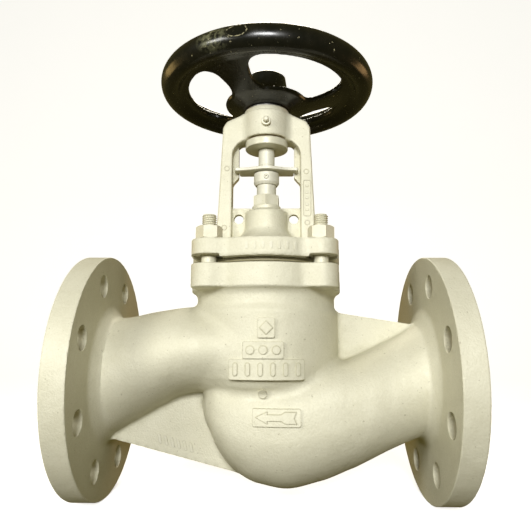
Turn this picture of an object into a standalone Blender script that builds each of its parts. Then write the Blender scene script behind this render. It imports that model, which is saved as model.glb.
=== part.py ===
"""Flanged globe valve, DN80, with a rotating handwheel and yoke nut and a rising, bellows sealed stem.

Frame: the pipe centreline runs along X and the stem rises along +Z, and they cross at the origin.
The design is written in millimetres, and every mesh is scaled to metres when it is made.
The inlet is the +X port, which leads under the seat. The outlet is the -X port.
"""
import math

import bmesh
import bpy
from mathutils import Matrix

MM = 0.001
GAP = 0.3                                    # clearance between pieces that touch
SLIVER = 0.002 * MM                          # edges shorter than this are closed up after a cut

# Pipe flanges
FACE_TO_FACE = 310.0
BORE_R = 40.0
FLANGE_R = 102.0
FLANGE_BACK_X = 134.5
RAISED_FACE_R = 66.0
RAISED_FACE_HEIGHT = 2.0
FLANGE_BOLT_CIRCLE_R = 80.0
FLANGE_BOLT_HOLE_R = 9.5
FLANGE_BOLTS = 8

# Body shell
NECK_R = 62.0
NECK_WAIST_R = 59.6                          # the narrower length below the top flange
CHAMBER_R = 53.0
CHAMBER_FLOOR_Z = 2.0
WEB_HALF_THICKNESS = 3.0

# Bolted joint between body and bonnet
BODY_TOP_Z = 90.0
BODY_FLANGE_THICKNESS = 19.0
BONNET_BASE_Z = 95.0
BONNET_FLANGE_TOP_Z = 110.0
COVER_DISC_R = 64.5
EAR_R = 14.0
STUD_X = 45.4                                # the four studs stand at (+-STUD_X, +-STUD_X)
STUD_R = 6.0
STUD_BOTTOM_Z = 73.3
STUD_TOP_Z = 131.0
STUD_NUT_FLATS = 19.0
STUD_NUT_HEIGHT = 11.0
GASKET_INNER_R = 53.4
GASKET_OUTER_R = 57.0
GASKET_THICKNESS = 1.0

# Seat and plug
SEAT_BORE_R = 38.0
SEAT_RING_R = 46.8
SEAT_RING_BOTTOM_Z = -9.7
SEAT_CONE_WIDTH = 3.0
PLUG_R = 43.5

# Stem
STEM_R = 8.75
STEM_THREAD_R = 7.35
STEM_SHOULDER_Z = 181.5
STEM_BOTTOM_Z = 4.3
STEM_TOP_Z = 250.0
STEM_BORE_R = STEM_R + GAP
THREAD_BORE_R = STEM_THREAD_R + GAP

# Bellows
BELLOWS_OUTER_R = 24.5
BELLOWS_INNER_R = 17.0
BELLOWS_WALL = 1.0
BELLOWS_FOLDS = 7
BELLOWS_BOTTOM_Z = 34.3
BELLOWS_TOP_Z = 87.7

# Bonnet, stuffing box and yoke
BONNET_NECK_R = 19.0
BONNET_NECK_TOP_Z = 146.0
STUFFING_BOX_R = 13.2
STUFFING_BOX_FLOOR_Z = 110.0
PACKING_R = STUFFING_BOX_R - GAP
PACKING_RINGS = 4
PACKING_RING_HEIGHT = 5.0
ARM_INNER_X = 31.0
ARM_HALF_DEPTH = 9.0
ARCH_RADIUS = 16.0
HEAD_R = 21.7
HEAD_BOTTOM_Z = 211.5
NIPPLE_Z = 222.3
HEAD_TOP_Z = 239.1
RIB_INNER_X = 25.5
GUIDE_END_X = 28.8
LIFT_HOLE_X = 24.7
LIFT_HOLE_Z = 138.0
LIFT_HOLE_R = 4.25

# Drive
STEM_NUT_FLANGE_R = 19.5
STEM_NUT_BARREL_R = 13.0
STEM_NUT_SEAT_R = 11.0
HUB_BOTTOM_Z = 241.0
HUB_SEAT_Z = 262.0
HUB_TOP_Z = 275.0
WHEEL_R = 97.5
RIM_CENTRE_R = 88.0
RIM_CENTRE_Z = 262.0
RIM_HALF_HEIGHT = 11.0
WINDOW_INNER_R = 37.0
WINDOW_OUTER_R = 72.5
WINDOW_HALF_ANGLE = math.radians(45)
WINDOW_CORNER_R = 14.0
WINDOW_AZIMUTHS = (math.radians(-58), math.radians(62), math.radians(182))


# --- Materials ---------------------------------------------------------------------------------

def principled(name, colour, roughness, metallic=0.0):
    """A plain Principled material with one colour."""
    material = bpy.data.materials.new(name)
    material.use_nodes = True
    shader = material.node_tree.nodes["Principled BSDF"]
    shader.inputs["Base Color"].default_value = (*colour, 1.0)
    shader.inputs["Roughness"].default_value = roughness
    shader.inputs["Metallic"].default_value = metallic
    material.diffuse_color = (*colour, 1.0)
    return material


for old_object in list(bpy.data.objects):
    bpy.data.objects.remove(old_object)

CAST_PAINT = principled("cast_paint", (0.72, 0.69, 0.56), 0.5)
FASTENER_PAINT = principled("fastener_paint", (0.70, 0.67, 0.54), 0.45)
STEM_PAINT = principled("stem_paint", (0.74, 0.71, 0.60), 0.4)
BLACK_ENAMEL = principled("black_enamel", (0.015, 0.016, 0.014), 0.22)
STAINLESS = principled("stainless", (0.62, 0.61, 0.58), 0.3, 1.0)
BRONZE = principled("bronze", (0.55, 0.36, 0.16), 0.4, 1.0)
GRAPHITE = principled("graphite", (0.05, 0.05, 0.055), 0.7)
STEEL = principled("steel", (0.45, 0.45, 0.44), 0.35, 1.0)


# --- Shapes ------------------------------------------------------------------------------------

def add_object(name, shape, material):
    """Turn a bmesh drawn in millimetres into a named object in metres."""
    bmesh.ops.recalc_face_normals(shape, faces=shape.faces)
    bmesh.ops.scale(shape, vec=(MM, MM, MM), verts=shape.verts)
    mesh = bpy.data.meshes.new(name)
    shape.to_mesh(mesh)
    shape.free()
    mesh.materials.append(material)
    mesh.shade_smooth()
    mesh.set_sharp_from_angle(angle=math.radians(35))
    made = bpy.data.objects.new(name, mesh)
    bpy.context.collection.objects.link(made)
    return made


def add_turned(shape, profile, segments=32, matrix=Matrix()):
    """Spin a profile of (radius, height) points about Z.

    A profile that starts and ends on the axis makes a solid, and any other is closed into a ring.
    """
    rings = []
    for radius, height in profile:
        if radius == 0:
            rings.append([shape.verts.new(matrix @ Matrix.Translation((0, 0, height)).translation)])
            continue
        ring = []
        for step in range(segments):
            turn = 2 * math.pi * step / segments
            point = Matrix.Translation((radius * math.cos(turn), radius * math.sin(turn), height))
            ring.append(shape.verts.new((matrix @ point).translation))
        rings.append(ring)
    if len(rings[0]) > 1:
        rings.append(rings[0])
    for lower, upper in zip(rings, rings[1:]):
        for step in range(segments):
            after = (step + 1) % segments
            corners = [lower[step % len(lower)], lower[after % len(lower)],
                       upper[after % len(upper)], upper[step % len(upper)]]
            shape.faces.new(dict.fromkeys(corners))


def add_prism(shape, outline, low, high, matrix=Matrix()):
    """Raise a flat (x, y) outline from one height to another."""
    ends = []
    for height in (low, high):
        points = [matrix @ Matrix.Translation((x, y, height)) for x, y in outline]
        ends.append([shape.verts.new(point.translation) for point in points])
    shape.faces.new(ends[0])
    shape.faces.new(ends[1])
    for index, corner in enumerate(ends[0]):
        after = (index + 1) % len(outline)
        shape.faces.new((corner, ends[0][after], ends[1][after], ends[1][index]))


def add_loft(shape, stations, segments=20):
    """Join elliptical sections (x, centre z, half width, half height) that stand across X."""
    rings = []
    for x, centre_z, half_width, half_height in stations:
        ring = []
        for step in range(segments):
            turn = 2 * math.pi * step / segments
            y = half_width * math.cos(turn)
            z = centre_z + half_height * math.sin(turn)
            ring.append(shape.verts.new((x, y, z)))
        rings.append(ring)
    for left, right in zip(rings, rings[1:]):
        for step in range(segments):
            after = (step + 1) % segments
            shape.faces.new((left[step], left[after], right[after], right[step]))
    shape.faces.new(rings[0])
    shape.faces.new(rings[-1])


def turned(name, profile, material, segments=32, matrix=Matrix()):
    shape = bmesh.new()
    add_turned(shape, profile, segments, matrix)
    return add_object(name, shape, material)


def prism(name, outline, low, high, material, matrix=Matrix()):
    shape = bmesh.new()
    add_prism(shape, outline, low, high, matrix)
    return add_object(name, shape, material)


def loft(name, stations, material):
    shape = bmesh.new()
    add_loft(shape, stations)
    return add_object(name, shape, material)


def combine(base, tool, operation):
    """Apply a Boolean of one object to another, and remove the tool."""
    modifier = base.modifiers.new(operation.lower(), "BOOLEAN")
    modifier.operation = operation
    modifier.object = tool
    evaluated = base.evaluated_get(bpy.context.evaluated_depsgraph_get())
    result = bpy.data.meshes.new_from_object(evaluated)
    base.modifiers.clear()
    shape = bmesh.new()
    shape.from_mesh(result)
    bmesh.ops.remove_doubles(shape, verts=shape.verts, dist=SLIVER)
    shape.to_mesh(result)
    shape.free()
    base.data = result
    bpy.data.objects.remove(tool)


def join(base, tool):
    combine(base, tool, "UNION")


def cut(base, tool):
    combine(base, tool, "DIFFERENCE")


def ring_profile(inner, outer, low, high, chamfer=0.0):
    """A plain ring, with its outer edges broken by a chamfer when one is given."""
    if chamfer == 0:
        return [(outer, high), (outer, low), (inner, low), (inner, high)]
    return [(outer - chamfer, high), (outer, high - chamfer), (outer, low + chamfer),
            (outer - chamfer, low), (inner, low), (inner, high)]


def rod_profile(radius, low, high, chamfer=0.0):
    """A plain round bar, with its edges broken by a chamfer when one is given."""
    if chamfer == 0:
        return [(0, high), (radius, high), (radius, low), (0, low)]
    return [(0, high), (radius - chamfer, high), (radius, high - chamfer),
            (radius, low + chamfer), (radius - chamfer, low), (0, low)]


def hexagon(across_flats, turn=0.0):
    corner_r = across_flats / math.sqrt(3)
    angles = [turn + math.radians(60 * corner) for corner in range(6)]
    return [(corner_r * math.cos(angle), corner_r * math.sin(angle)) for angle in angles]


ALONG_MINUS_Y = Matrix.Rotation(math.radians(90), 4, "X")    # local +Z becomes -Y, local y is z


def stud_places():
    return [(x, y) for x in (-STUD_X, STUD_X) for y in (-STUD_X, STUD_X)]


def cover_outline(points=48):
    """The disc with four ears that the body flange and the bonnet flange share."""
    ear_distance = STUD_X * math.sqrt(2)
    blend = 4.0
    outline = []
    for step in range(points):
        turn = 2 * math.pi * step / points
        off_ear = (turn % (math.pi / 2)) - math.pi / 4
        inside = EAR_R ** 2 - (ear_distance * math.sin(off_ear)) ** 2
        reach = COVER_DISC_R
        if inside > 0:
            ear_reach = ear_distance * math.cos(off_ear) + math.sqrt(inside)
            reach = max(ear_reach, COVER_DISC_R)
            near = max(blend - abs(ear_reach - COVER_DISC_R), 0.0)
            reach += near ** 2 / (4 * blend)
        outline.append((reach * math.cos(turn), reach * math.sin(turn)))
    return outline


# --- Body --------------------------------------------------------------------------------------

# Outside of the outlet side: (x, centre z, half width, half height)
OUTLET_SHELL = [(-140, 0, 53, 53), (-133, 0, 52, 52), (-127, 1, 48, 48.5), (-115, 5.1, 48, 45.2),
                (-100, 11.1, 49, 42.5), (-85, 16.6, 52, 39.6), (-70, 21.2, 55, 37.1),
                (-55, 22.9, 57, 36.3), (-20, 22.9, 57, 36.3)]
# Outside of the inlet side and of the bowl below the seat
INLET_SHELL = [(140, 0, 53, 53), (133, 0, 51, 51), (127, -3, 47.5, 47), (115, -9, 47.5, 45.5),
               (100, -16, 49, 45), (85, -23.4, 52, 44.8), (70, -30, 54, 45), (45, -37, 57, 47.5),
               (17, -43, 58, 47.4), (-5, -43, 56, 43.5), (-25, -38, 50, 38.3),
               (-38, -31, 42, 30), (-46, -26, 31, 16), (-50, -23, 18, 10)]
# Inside of the outlet side, which opens into the upper chamber
OUTLET_PASSAGE = [(-160, 0, 40, 40), (-133, 0, 40, 40), (-115, 4.4, 40, 36.5), (-100, 9.5, 41, 33),
                  (-85, 15.5, 43, 30.5), (-70, 21.8, 45, 29.3), (-55, 27.5, 45, 26),
                  (-25, 32, 44, 16)]
# Inside of the inlet side, which runs down and under the seat
INLET_PASSAGE = [(160, 0, 40, 40), (133, 0, 40, 40), (115, -9, 39.5, 37.5), (100, -16, 41, 37),
                 (85, -23.4, 44, 36.8), (70, -31, 46, 36), (55, -39, 48, 34.5),
                 (43, -44, 48.6, 33), (12, -48, 49, 34), (-12, -45.5, 47, 31.5),
                 (-30, -39, 38, 25), (-40, -33, 26, 14)]


def flange_solid(side):
    """One pipe flange with its raised face, turned about X."""
    face = FACE_TO_FACE / 2
    profile = [(0, face), (RAISED_FACE_R, face), (RAISED_FACE_R, face - RAISED_FACE_HEIGHT),
               (FLANGE_R - 1.2, face - RAISED_FACE_HEIGHT),
               (FLANGE_R, face - RAISED_FACE_HEIGHT - 1.2), (FLANGE_R, FLANGE_BACK_X + 1.2),
               (FLANGE_R - 1.2, FLANGE_BACK_X), (0, FLANGE_BACK_X)]
    matrix = Matrix.Rotation(math.radians(90 * side), 4, "Y")
    return turned("flange", profile, CAST_PAINT, 32, matrix)


def flange_bolt_cutter(side, index):
    """A drill for one pipe flange hole. The holes straddle the flange's centre lines."""
    angle = 2 * math.pi * (index + 0.5) / FLANGE_BOLTS
    place = Matrix.Translation((side * FLANGE_BACK_X, FLANGE_BOLT_CIRCLE_R * math.cos(angle),
                                FLANGE_BOLT_CIRCLE_R * math.sin(angle)))
    matrix = place @ Matrix.Rotation(math.radians(90 * side), 4, "Y")
    return turned("drill", rod_profile(FLANGE_BOLT_HOLE_R, -2, 24), CAST_PAINT, 10, matrix)


def centre_web(outline):
    """A thin cast web that stands in the XZ plane."""
    return prism("web", outline, -WEB_HALF_THICKNESS, WEB_HALF_THICKNESS, CAST_PAINT,
                 ALONG_MINUS_Y)


def build_body():
    body = loft("body", OUTLET_SHELL, CAST_PAINT)
    join(body, loft("inlet_shell", INLET_SHELL, CAST_PAINT))
    neck = [(0, 76), (NECK_WAIST_R + 3, 76), (NECK_WAIST_R + 3, 71), (NECK_WAIST_R, 66),
            (NECK_WAIST_R, 58.5), (NECK_R, 54), (NECK_R, 10), (60, 0), (55, -8), (44, -16.5),
            (0, -16.5)]
    join(body, turned("neck", neck, CAST_PAINT, 32))
    join(body, prism("top_flange", cover_outline(), BODY_TOP_Z - BODY_FLANGE_THICKNESS, BODY_TOP_Z,
                     CAST_PAINT))
    for side in (-1, 1):
        join(body, flange_solid(side))
    join(body, centre_web([(-FLANGE_BACK_X - 1, -52), (-16, -81.5), (-16, -40), (-45, -16),
                           (-70, -10), (-FLANGE_BACK_X - 1, -30)]))
    join(body, centre_web([(58, 55), (FLANGE_BACK_X + 1, 43.2), (FLANGE_BACK_X + 1, 16),
                           (75, 8), (58, 12)]))
    cut(body, loft("outlet_passage", OUTLET_PASSAGE, CAST_PAINT))
    cut(body, loft("inlet_passage", INLET_PASSAGE, CAST_PAINT))
    pocket_r = SEAT_RING_R + GAP
    chamber = [(0, BODY_TOP_Z + 5), (CHAMBER_R, BODY_TOP_Z + 5), (CHAMBER_R, CHAMBER_FLOOR_Z + 4),
               (CHAMBER_R - 4, CHAMBER_FLOOR_Z), (pocket_r, CHAMBER_FLOOR_Z),
               (pocket_r, SEAT_RING_BOTTOM_Z - GAP), (BORE_R, SEAT_RING_BOTTOM_Z - GAP),
               (BORE_R, -30), (0, -30)]
    cut(body, turned("chamber", chamber, CAST_PAINT, 28))
    for side in (-1, 1):
        for index in range(FLANGE_BOLTS):
            cut(body, flange_bolt_cutter(side, index))
    for x, y in stud_places():
        drill = rod_profile(STUD_R + GAP, STUD_BOTTOM_Z - GAP, BODY_TOP_Z + 5)
        cut(body, turned("drill", drill, CAST_PAINT, 10, Matrix.Translation((x, y, 0))))
    return body


def build_seat_ring():
    cone_top = SEAT_BORE_R + SEAT_CONE_WIDTH
    profile = [(SEAT_RING_R, 0), (SEAT_RING_R, SEAT_RING_BOTTOM_Z),
               (SEAT_BORE_R, SEAT_RING_BOTTOM_Z), (SEAT_BORE_R, -SEAT_CONE_WIDTH), (cone_top, 0)]
    turned("seat_ring", profile, STAINLESS, 28)


# --- Stem, plug and bellows ----------------------------------------------------------------------

def build_stem():
    """The stem: a head that hangs in the plug, a smooth shank and a slimmer threaded end."""
    profile = [(0, STEM_TOP_Z), (STEM_THREAD_R - 1, STEM_TOP_Z), (STEM_THREAD_R, STEM_TOP_Z - 1),
               (STEM_THREAD_R, STEM_SHOULDER_Z), (STEM_R, STEM_SHOULDER_Z - 0.8), (STEM_R, 8.8),
               (12, 8.8), (12, STEM_BOTTOM_Z), (0, STEM_BOTTOM_Z)]
    turned("stem", profile, STEM_PAINT, 16)


def build_plug():
    """The plug closes on the seat ring's cone, one clearance short of touching it."""
    cone_offset = SEAT_BORE_R + SEAT_CONE_WIDTH - 1.5 * GAP
    profile = [(0, 4), (12.4, 4), (12.4, 9), (15.3, 9), (15.3, 22), (20, 22), (20, 15.5),
               (PLUG_R - 3, 13), (PLUG_R, 11), (PLUG_R, PLUG_R - cone_offset),
               (cone_offset - 3.6, -3.6), (cone_offset - 4.6, -5.5), (0, -5.5)]
    turned("plug", profile, STAINLESS, 28)


def build_plug_nut():
    """The threaded bush that traps the stem's head in the plug, with a hexagon on top."""
    nut = turned("plug_nut", rod_profile(15, 9.3, 23), BRONZE, 16)
    join(nut, prism("hexagon", hexagon(30), 22.3, 26.5, BRONZE))
    cut(nut, turned("bore", rod_profile(STEM_BORE_R, 5, 30), BRONZE, 16))


def bellows_profile():
    """A folded tube wall: crests and roots outside, and the same line one wall inside."""
    pitch = (BELLOWS_TOP_Z - BELLOWS_BOTTOM_Z) / BELLOWS_FOLDS
    outside = []
    for fold in range(BELLOWS_FOLDS):
        root_z = BELLOWS_TOP_Z - fold * pitch
        outside.append((BELLOWS_INNER_R + BELLOWS_WALL, root_z))
        outside.append((BELLOWS_OUTER_R, root_z - pitch / 2))
    outside.append((BELLOWS_INNER_R + BELLOWS_WALL, BELLOWS_BOTTOM_Z))
    inside = [(radius - BELLOWS_WALL, z) for radius, z in reversed(outside)]
    return outside + inside


def build_bellows():
    turned("bellows", bellows_profile(), STAINLESS, 16)
    turned("bellows_collar", ring_profile(STEM_BORE_R, 25, 28.5, BELLOWS_BOTTOM_Z - GAP, 1),
           STAINLESS, 16)
    plate_low = BODY_TOP_Z + 2 * GAP + GASKET_THICKNESS
    plate_high = BONNET_BASE_Z - 2 * GAP - GASKET_THICKNESS
    profile = [(GASKET_OUTER_R, plate_high), (GASKET_OUTER_R, plate_low), (25, plate_low),
               (25, BELLOWS_TOP_Z + GAP), (STEM_R + 0.65, BELLOWS_TOP_Z + GAP),
               (STEM_R + 0.65, plate_high)]
    turned("bellows_flange", profile, STAINLESS, 28)


def build_gaskets():
    for name, low in (("gasket_lower", BODY_TOP_Z + GAP),
                      ("gasket_upper", BONNET_BASE_Z - GAP - GASKET_THICKNESS)):
        turned(name, ring_profile(GASKET_INNER_R, GASKET_OUTER_R, low, low + GASKET_THICKNESS),
               GRAPHITE, 28)


# --- Bonnet and its fasteners ----------------------------------------------------------------------

def yoke_half(side):
    """One yoke arm with its shoulder, from the bonnet flange to the head, as an XZ outline."""
    arch_start = HEAD_BOTTOM_Z - ARCH_RADIUS
    outline = [(45.5, 106), (45.5, 112), (43, 145), (39.5, 224), (36.5, 227.5), (22, 235), (0, 235),
               (0, HEAD_BOTTOM_Z + 2)]
    for step in range(6):
        turn = math.radians(90 - 18 * step)
        outline.append((ARM_INNER_X - ARCH_RADIUS + ARCH_RADIUS * math.cos(turn),
                        arch_start + ARCH_RADIUS * math.sin(turn)))
    outline.append((ARM_INNER_X, 106))
    return [(side * x, z) for x, z in outline]


def guide_rib(side):
    """The rib along an arm's inner face that stops the guide plate from turning."""
    outline = [(ARM_INNER_X + 2, 205), (RIB_INNER_X, 205), (RIB_INNER_X, 178),
               (ARM_INNER_X + 1, 171)]
    outline = [(side * x, z) for x, z in outline]
    return prism("rib", outline, -ARM_HALF_DEPTH + 0.4, -1, CAST_PAINT, ALONG_MINUS_Y)


def lifting_web(side):
    """The thin web between an arm and the bonnet neck, with a round hole for a shackle."""
    outline = [(12, 108), (ARM_INNER_X + 3, 108), (ARM_INNER_X + 3, 148), (12, 148)]
    web = prism("web", [(side * x, z) for x, z in outline], -3, 3, CAST_PAINT, ALONG_MINUS_Y)
    hole = Matrix.Translation((side * LIFT_HOLE_X, 0, LIFT_HOLE_Z)) @ ALONG_MINUS_Y
    cut(web, turned("hole", rod_profile(LIFT_HOLE_R, -8, 8), CAST_PAINT, 20, hole))
    return web


def build_bonnet():
    bonnet = prism("bonnet", cover_outline(), BONNET_BASE_Z, BONNET_FLANGE_TOP_Z, CAST_PAINT)
    for side in (-1, 1):
        join(bonnet, prism("arm", yoke_half(side), -ARM_HALF_DEPTH, ARM_HALF_DEPTH, CAST_PAINT,
                           ALONG_MINUS_Y))
        join(bonnet, guide_rib(side))
        join(bonnet, lifting_web(side))
    neck = [(0, BONNET_NECK_TOP_Z), (14.2, BONNET_NECK_TOP_Z), (BONNET_NECK_R, 143),
            (BONNET_NECK_R, 130), (20.5, 125.5), (25, 120.5), (32, 115.5), (41, 112),
            (48, BONNET_FLANGE_TOP_Z - 1), (48, 105), (0, 105)]
    join(bonnet, turned("neck", neck, CAST_PAINT, 32))
    head = [(0, HEAD_TOP_Z), (20.7, HEAD_TOP_Z), (20.7, 235.5), (HEAD_R, 234.5),
            (HEAD_R, HEAD_BOTTOM_Z), (0, HEAD_BOTTOM_Z)]
    join(bonnet, turned("head", head, CAST_PAINT, 32))
    bore = [(0, 150), (STUFFING_BOX_R, 150), (STUFFING_BOX_R, STUFFING_BOX_FLOOR_Z),
            (STEM_R + 0.65, STUFFING_BOX_FLOOR_Z), (STEM_R + 0.65, 104.3),
            (STUFFING_BOX_R, 104.3), (STUFFING_BOX_R, 90), (0, 90)]
    cut(bonnet, turned("bore", bore, CAST_PAINT, 16))
    cut(bonnet, turned("head_bore", rod_profile(16.3, 205, 245), CAST_PAINT, 20))
    nipple_hole = Matrix.Translation((0, 0, NIPPLE_Z)) @ ALONG_MINUS_Y
    cut(bonnet, turned("hole", rod_profile(2.8, 12, 30), CAST_PAINT, 12, nipple_hole))
    for x, y in stud_places():
        drill = rod_profile(STUD_R + 0.75, 90, 115)
        cut(bonnet, turned("drill", drill, CAST_PAINT, 10, Matrix.Translation((x, y, 0))))


def build_bonnet_fasteners():
    nut_low = BONNET_FLANGE_TOP_Z + GAP
    for index, (x, y) in enumerate(stud_places()):
        place = Matrix.Translation((x, y, 0))
        stud = rod_profile(STUD_R, STUD_BOTTOM_Z, STUD_TOP_Z, 0.8)
        turned(f"bonnet_stud_{index + 1}", stud, FASTENER_PAINT, 10, place)
        turn = math.radians(12 + 17 * index)
        nut = prism(f"bonnet_nut_{index + 1}", hexagon(STUD_NUT_FLATS, turn), nut_low,
                    nut_low + STUD_NUT_HEIGHT, FASTENER_PAINT, place)
        cut(nut, turned("bore", rod_profile(STUD_R + GAP, 100, 130), FASTENER_PAINT, 10, place))


# --- Stuffing box ------------------------------------------------------------------------------------

def build_stuffing_box():
    """From the bottom: guide bush, washer, packing rings, follower and the gland nut."""
    turned("stem_guide_bush", ring_profile(STEM_BORE_R, PACKING_R, 95.6, 104), BRONZE, 16)
    washer_low = STUFFING_BOX_FLOOR_Z + GAP
    washer_high = washer_low + 2.5
    turned("packing_washer", ring_profile(STEM_BORE_R, PACKING_R, washer_low, washer_high),
           STAINLESS, 16)
    low = washer_high + GAP
    for index in range(PACKING_RINGS):
        profile = ring_profile(STEM_BORE_R, PACKING_R, low, low + PACKING_RING_HEIGHT)
        turned(f"packing_ring_{index + 1}", profile, GRAPHITE, 16)
        low += PACKING_RING_HEIGHT + GAP
    turned("gland_follower", ring_profile(STEM_BORE_R, PACKING_R, low, low + 5), BRONZE, 16)
    nut = turned("gland_nut", rod_profile(PACKING_R, low + 5 + GAP, 149, 0.8), FASTENER_PAINT, 16)
    join(nut, prism("hexagon", hexagon(22.2, math.radians(27)), 148.5, 159.6, FASTENER_PAINT))
    cut(nut, turned("bore", rod_profile(STEM_BORE_R, 130, 170), FASTENER_PAINT, 16))


# --- Guide plate and collar ----------------------------------------------------------------------------

def build_guide_collar():
    collar = turned("guide_collar", [(11.5, 180.4), (11.5, 171.5), (10, 169.3), (STEM_BORE_R, 169.3),
                                     (STEM_BORE_R, 180.4)], STEM_PAINT, 16)
    place = Matrix.Translation((0, 0, 175.4)) @ ALONG_MINUS_Y
    cut(collar, turned("hole", rod_profile(2.2, 6, 14), STEM_PAINT, 12, place))
    turned("collar_screw", [(0, 11), (0.7, 11), (0.7, 12), (1.9, 12), (1.9, 9.3), (0, 9.3)],
           STEEL, 12, place)


def guide_plate_outline():
    """The plate's broad front edge passes before the ribs, and its back fits between them."""
    front = []
    for step in range(13):
        x = GUIDE_END_X * (step / 6 - 1)
        bulge = 6 * math.exp(-(x / 11) ** 2)
        front.append((x, -8 - bulge))
    back_x = RIB_INNER_X - 0.5
    return front + [(GUIDE_END_X, 0.2), (back_x, 0.2), (back_x, 8), (back_x - 3, 10), (-back_x + 3, 10),
                    (-back_x, 8), (-back_x, 0.2), (-GUIDE_END_X, 0.2)]


def build_guide_plate():
    plate = prism("guide_plate", guide_plate_outline(), 181.8, 184.6, STEM_PAINT)
    cut(plate, turned("bore", rod_profile(THREAD_BORE_R, 175, 190), STEM_PAINT, 24))


# --- Drive -----------------------------------------------------------------------------------------

def key_outline(clearance):
    """The handwheel key's section, in XY, or its keyway when a clearance is added."""
    low, high, half = 9.5 - clearance, 13.6 + clearance, 2.5 + clearance
    return [(low, -half), (high, -half), (high, half), (low, half)]


def build_stem_nut():
    profile = [(STEM_NUT_FLANGE_R, 210.4), (STEM_NUT_FLANGE_R, 204.2),
               (STEM_NUT_FLANGE_R - 0.7, 203.5), (THREAD_BORE_R, 203.5), (THREAD_BORE_R, 271),
               (10, 271), (10, HUB_SEAT_Z), (STEM_NUT_SEAT_R, HUB_SEAT_Z),
               (STEM_NUT_SEAT_R, 240.7), (STEM_NUT_BARREL_R, 240.7), (STEM_NUT_BARREL_R, 210.4)]
    nut = turned("stem_nut", profile, BRONZE, 20)
    cut(nut, prism("keyway", key_outline(GAP), 242.7, 264, BRONZE))


def build_yoke_bearings():
    """A bronze bush in the head, with a thrust washer below and above it."""
    bore_r = STEM_NUT_BARREL_R + GAP
    turned("thrust_washer_lower", ring_profile(bore_r, 16.6, 210.7, 211.2), STEEL, 16)
    turned("yoke_bush", ring_profile(bore_r, 16, 211.8, 238.8), BRONZE, 16)
    turned("thrust_washer_upper", ring_profile(bore_r, 19.6, 239.4, 240.7), STEEL, 16)


def build_grease_nipple():
    place = Matrix.Translation((0, 0, NIPPLE_Z)) @ ALONG_MINUS_Y
    profile = [(0, 29.4), (1.5, 29.4), (2.4, 28.4), (2.4, 27.4), (1.6, 26.4), (2.6, 25.2), (2.6, 25),
               (4.2, 25), (4.2, 22), (2.5, 22), (2.5, 17.2), (0, 17.2)]
    turned("grease_nipple", profile, STEEL, 12, place)


def wheel_profile():
    """Half section of the handwheel: hub, dished web and a rim of oval section."""
    rim_half_width = WHEEL_R - RIM_CENTRE_R
    underside = [(STEM_NUT_SEAT_R + GAP, HUB_BOTTOM_Z), (22.5, HUB_BOTTOM_Z), (25, 242.4),
                 (30, 243.5), (38, 245), (50, 249), (62, 253.2), (71, 256.2), (79.2, 256.8)]
    rim = []
    for step in range(7):
        turn = math.radians(-147 + 49 * step)
        rim.append((RIM_CENTRE_R + rim_half_width * math.cos(turn),
                    RIM_CENTRE_Z + RIM_HALF_HEIGHT * math.sin(turn)))
    topside = [(78.7, 262.6), (71, 262), (62, 258.6), (50, 253.6), (40, 249.8), (34, 248.6),
               (28, 249.6), (23.5, 252.5), (20.5, 256.5), (19.3, 261), (17.4, HUB_TOP_Z - 1.5),
               (15.8, HUB_TOP_Z), (13.8, HUB_TOP_Z),
               (13.8, HUB_SEAT_Z), (STEM_NUT_SEAT_R + GAP, HUB_SEAT_Z)]
    return underside + rim + topside


def window_outline(azimuth):
    """An annular sector with round corners, drawn as a rounded rectangle and bent round."""
    middle_r = (WINDOW_INNER_R + WINDOW_OUTER_R) / 2
    half_r = (WINDOW_OUTER_R - WINDOW_INNER_R) / 2
    half_arc = middle_r * WINDOW_HALF_ANGLE
    flat = []
    for index, (side_r, side_arc) in enumerate(((1, -1), (1, 1), (-1, 1), (-1, -1))):
        for step in range(5):
            turn = math.radians(-90 + 90 * index + 22.5 * step)
            flat.append((side_r * (half_r - WINDOW_CORNER_R) + WINDOW_CORNER_R * math.cos(turn),
                         side_arc * (half_arc - WINDOW_CORNER_R) + WINDOW_CORNER_R * math.sin(turn)))
        if index in (0, 2):
            for step in range(1, 6):
                flat.append((side_r * half_r, side_arc * (half_arc - WINDOW_CORNER_R) * (1 - step / 3)))
    outline = []
    for offset, arc in flat:
        angle = azimuth + arc / middle_r
        radius = middle_r + offset
        outline.append((radius * math.cos(angle), radius * math.sin(angle)))
    return outline


def build_handwheel():
    wheel = turned("handwheel", wheel_profile(), BLACK_ENAMEL, 40)
    for azimuth in WINDOW_AZIMUTHS:
        cut(wheel, prism("window", window_outline(azimuth), 235, 285, BLACK_ENAMEL))
    cut(wheel, prism("keyway", key_outline(GAP), 235, 268, BLACK_ENAMEL))
    prism("handwheel_key", key_outline(0), 243, 261.5, STEEL)
    turned("handwheel_washer", ring_profile(10.3, 13.4, 262.3, 263.8), STEEL, 16)
    nut = turned("handwheel_nut", ring_profile(10.3, 13.2, 264.1, 271.5, 0.6), STEEL, 16)
    for turn in (0, 90):
        slot = [(-16, -1.6), (16, -1.6), (16, 1.6), (-16, 1.6)]
        cut(nut, prism("slot", slot, 269, 275, STEEL, Matrix.Rotation(math.radians(turn), 4, "Z")))


build_body()
build_seat_ring()
build_stem()
build_plug()
build_plug_nut()
build_bellows()
build_gaskets()
build_bonnet()
build_bonnet_fasteners()
build_stuffing_box()
build_guide_collar()
build_guide_plate()
build_stem_nut()
build_yoke_bearings()
build_grease_nipple()
build_handwheel()
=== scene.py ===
"""The looks of a flanged globe valve: cream painted castings and fasteners under a black handwheel.

Shapes are drawn in millimetres in the CAD's own frame and become meshes in metres. A casting is a
signed distance field, negative inside, in which every join has a cast fillet. It is meshed by dual
contouring, which keeps machined edges crisp. Turned pieces are profiles spun about their axis.
"""
import math

import bpy
import numpy as np
from mathutils import Matrix, Vector


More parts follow.
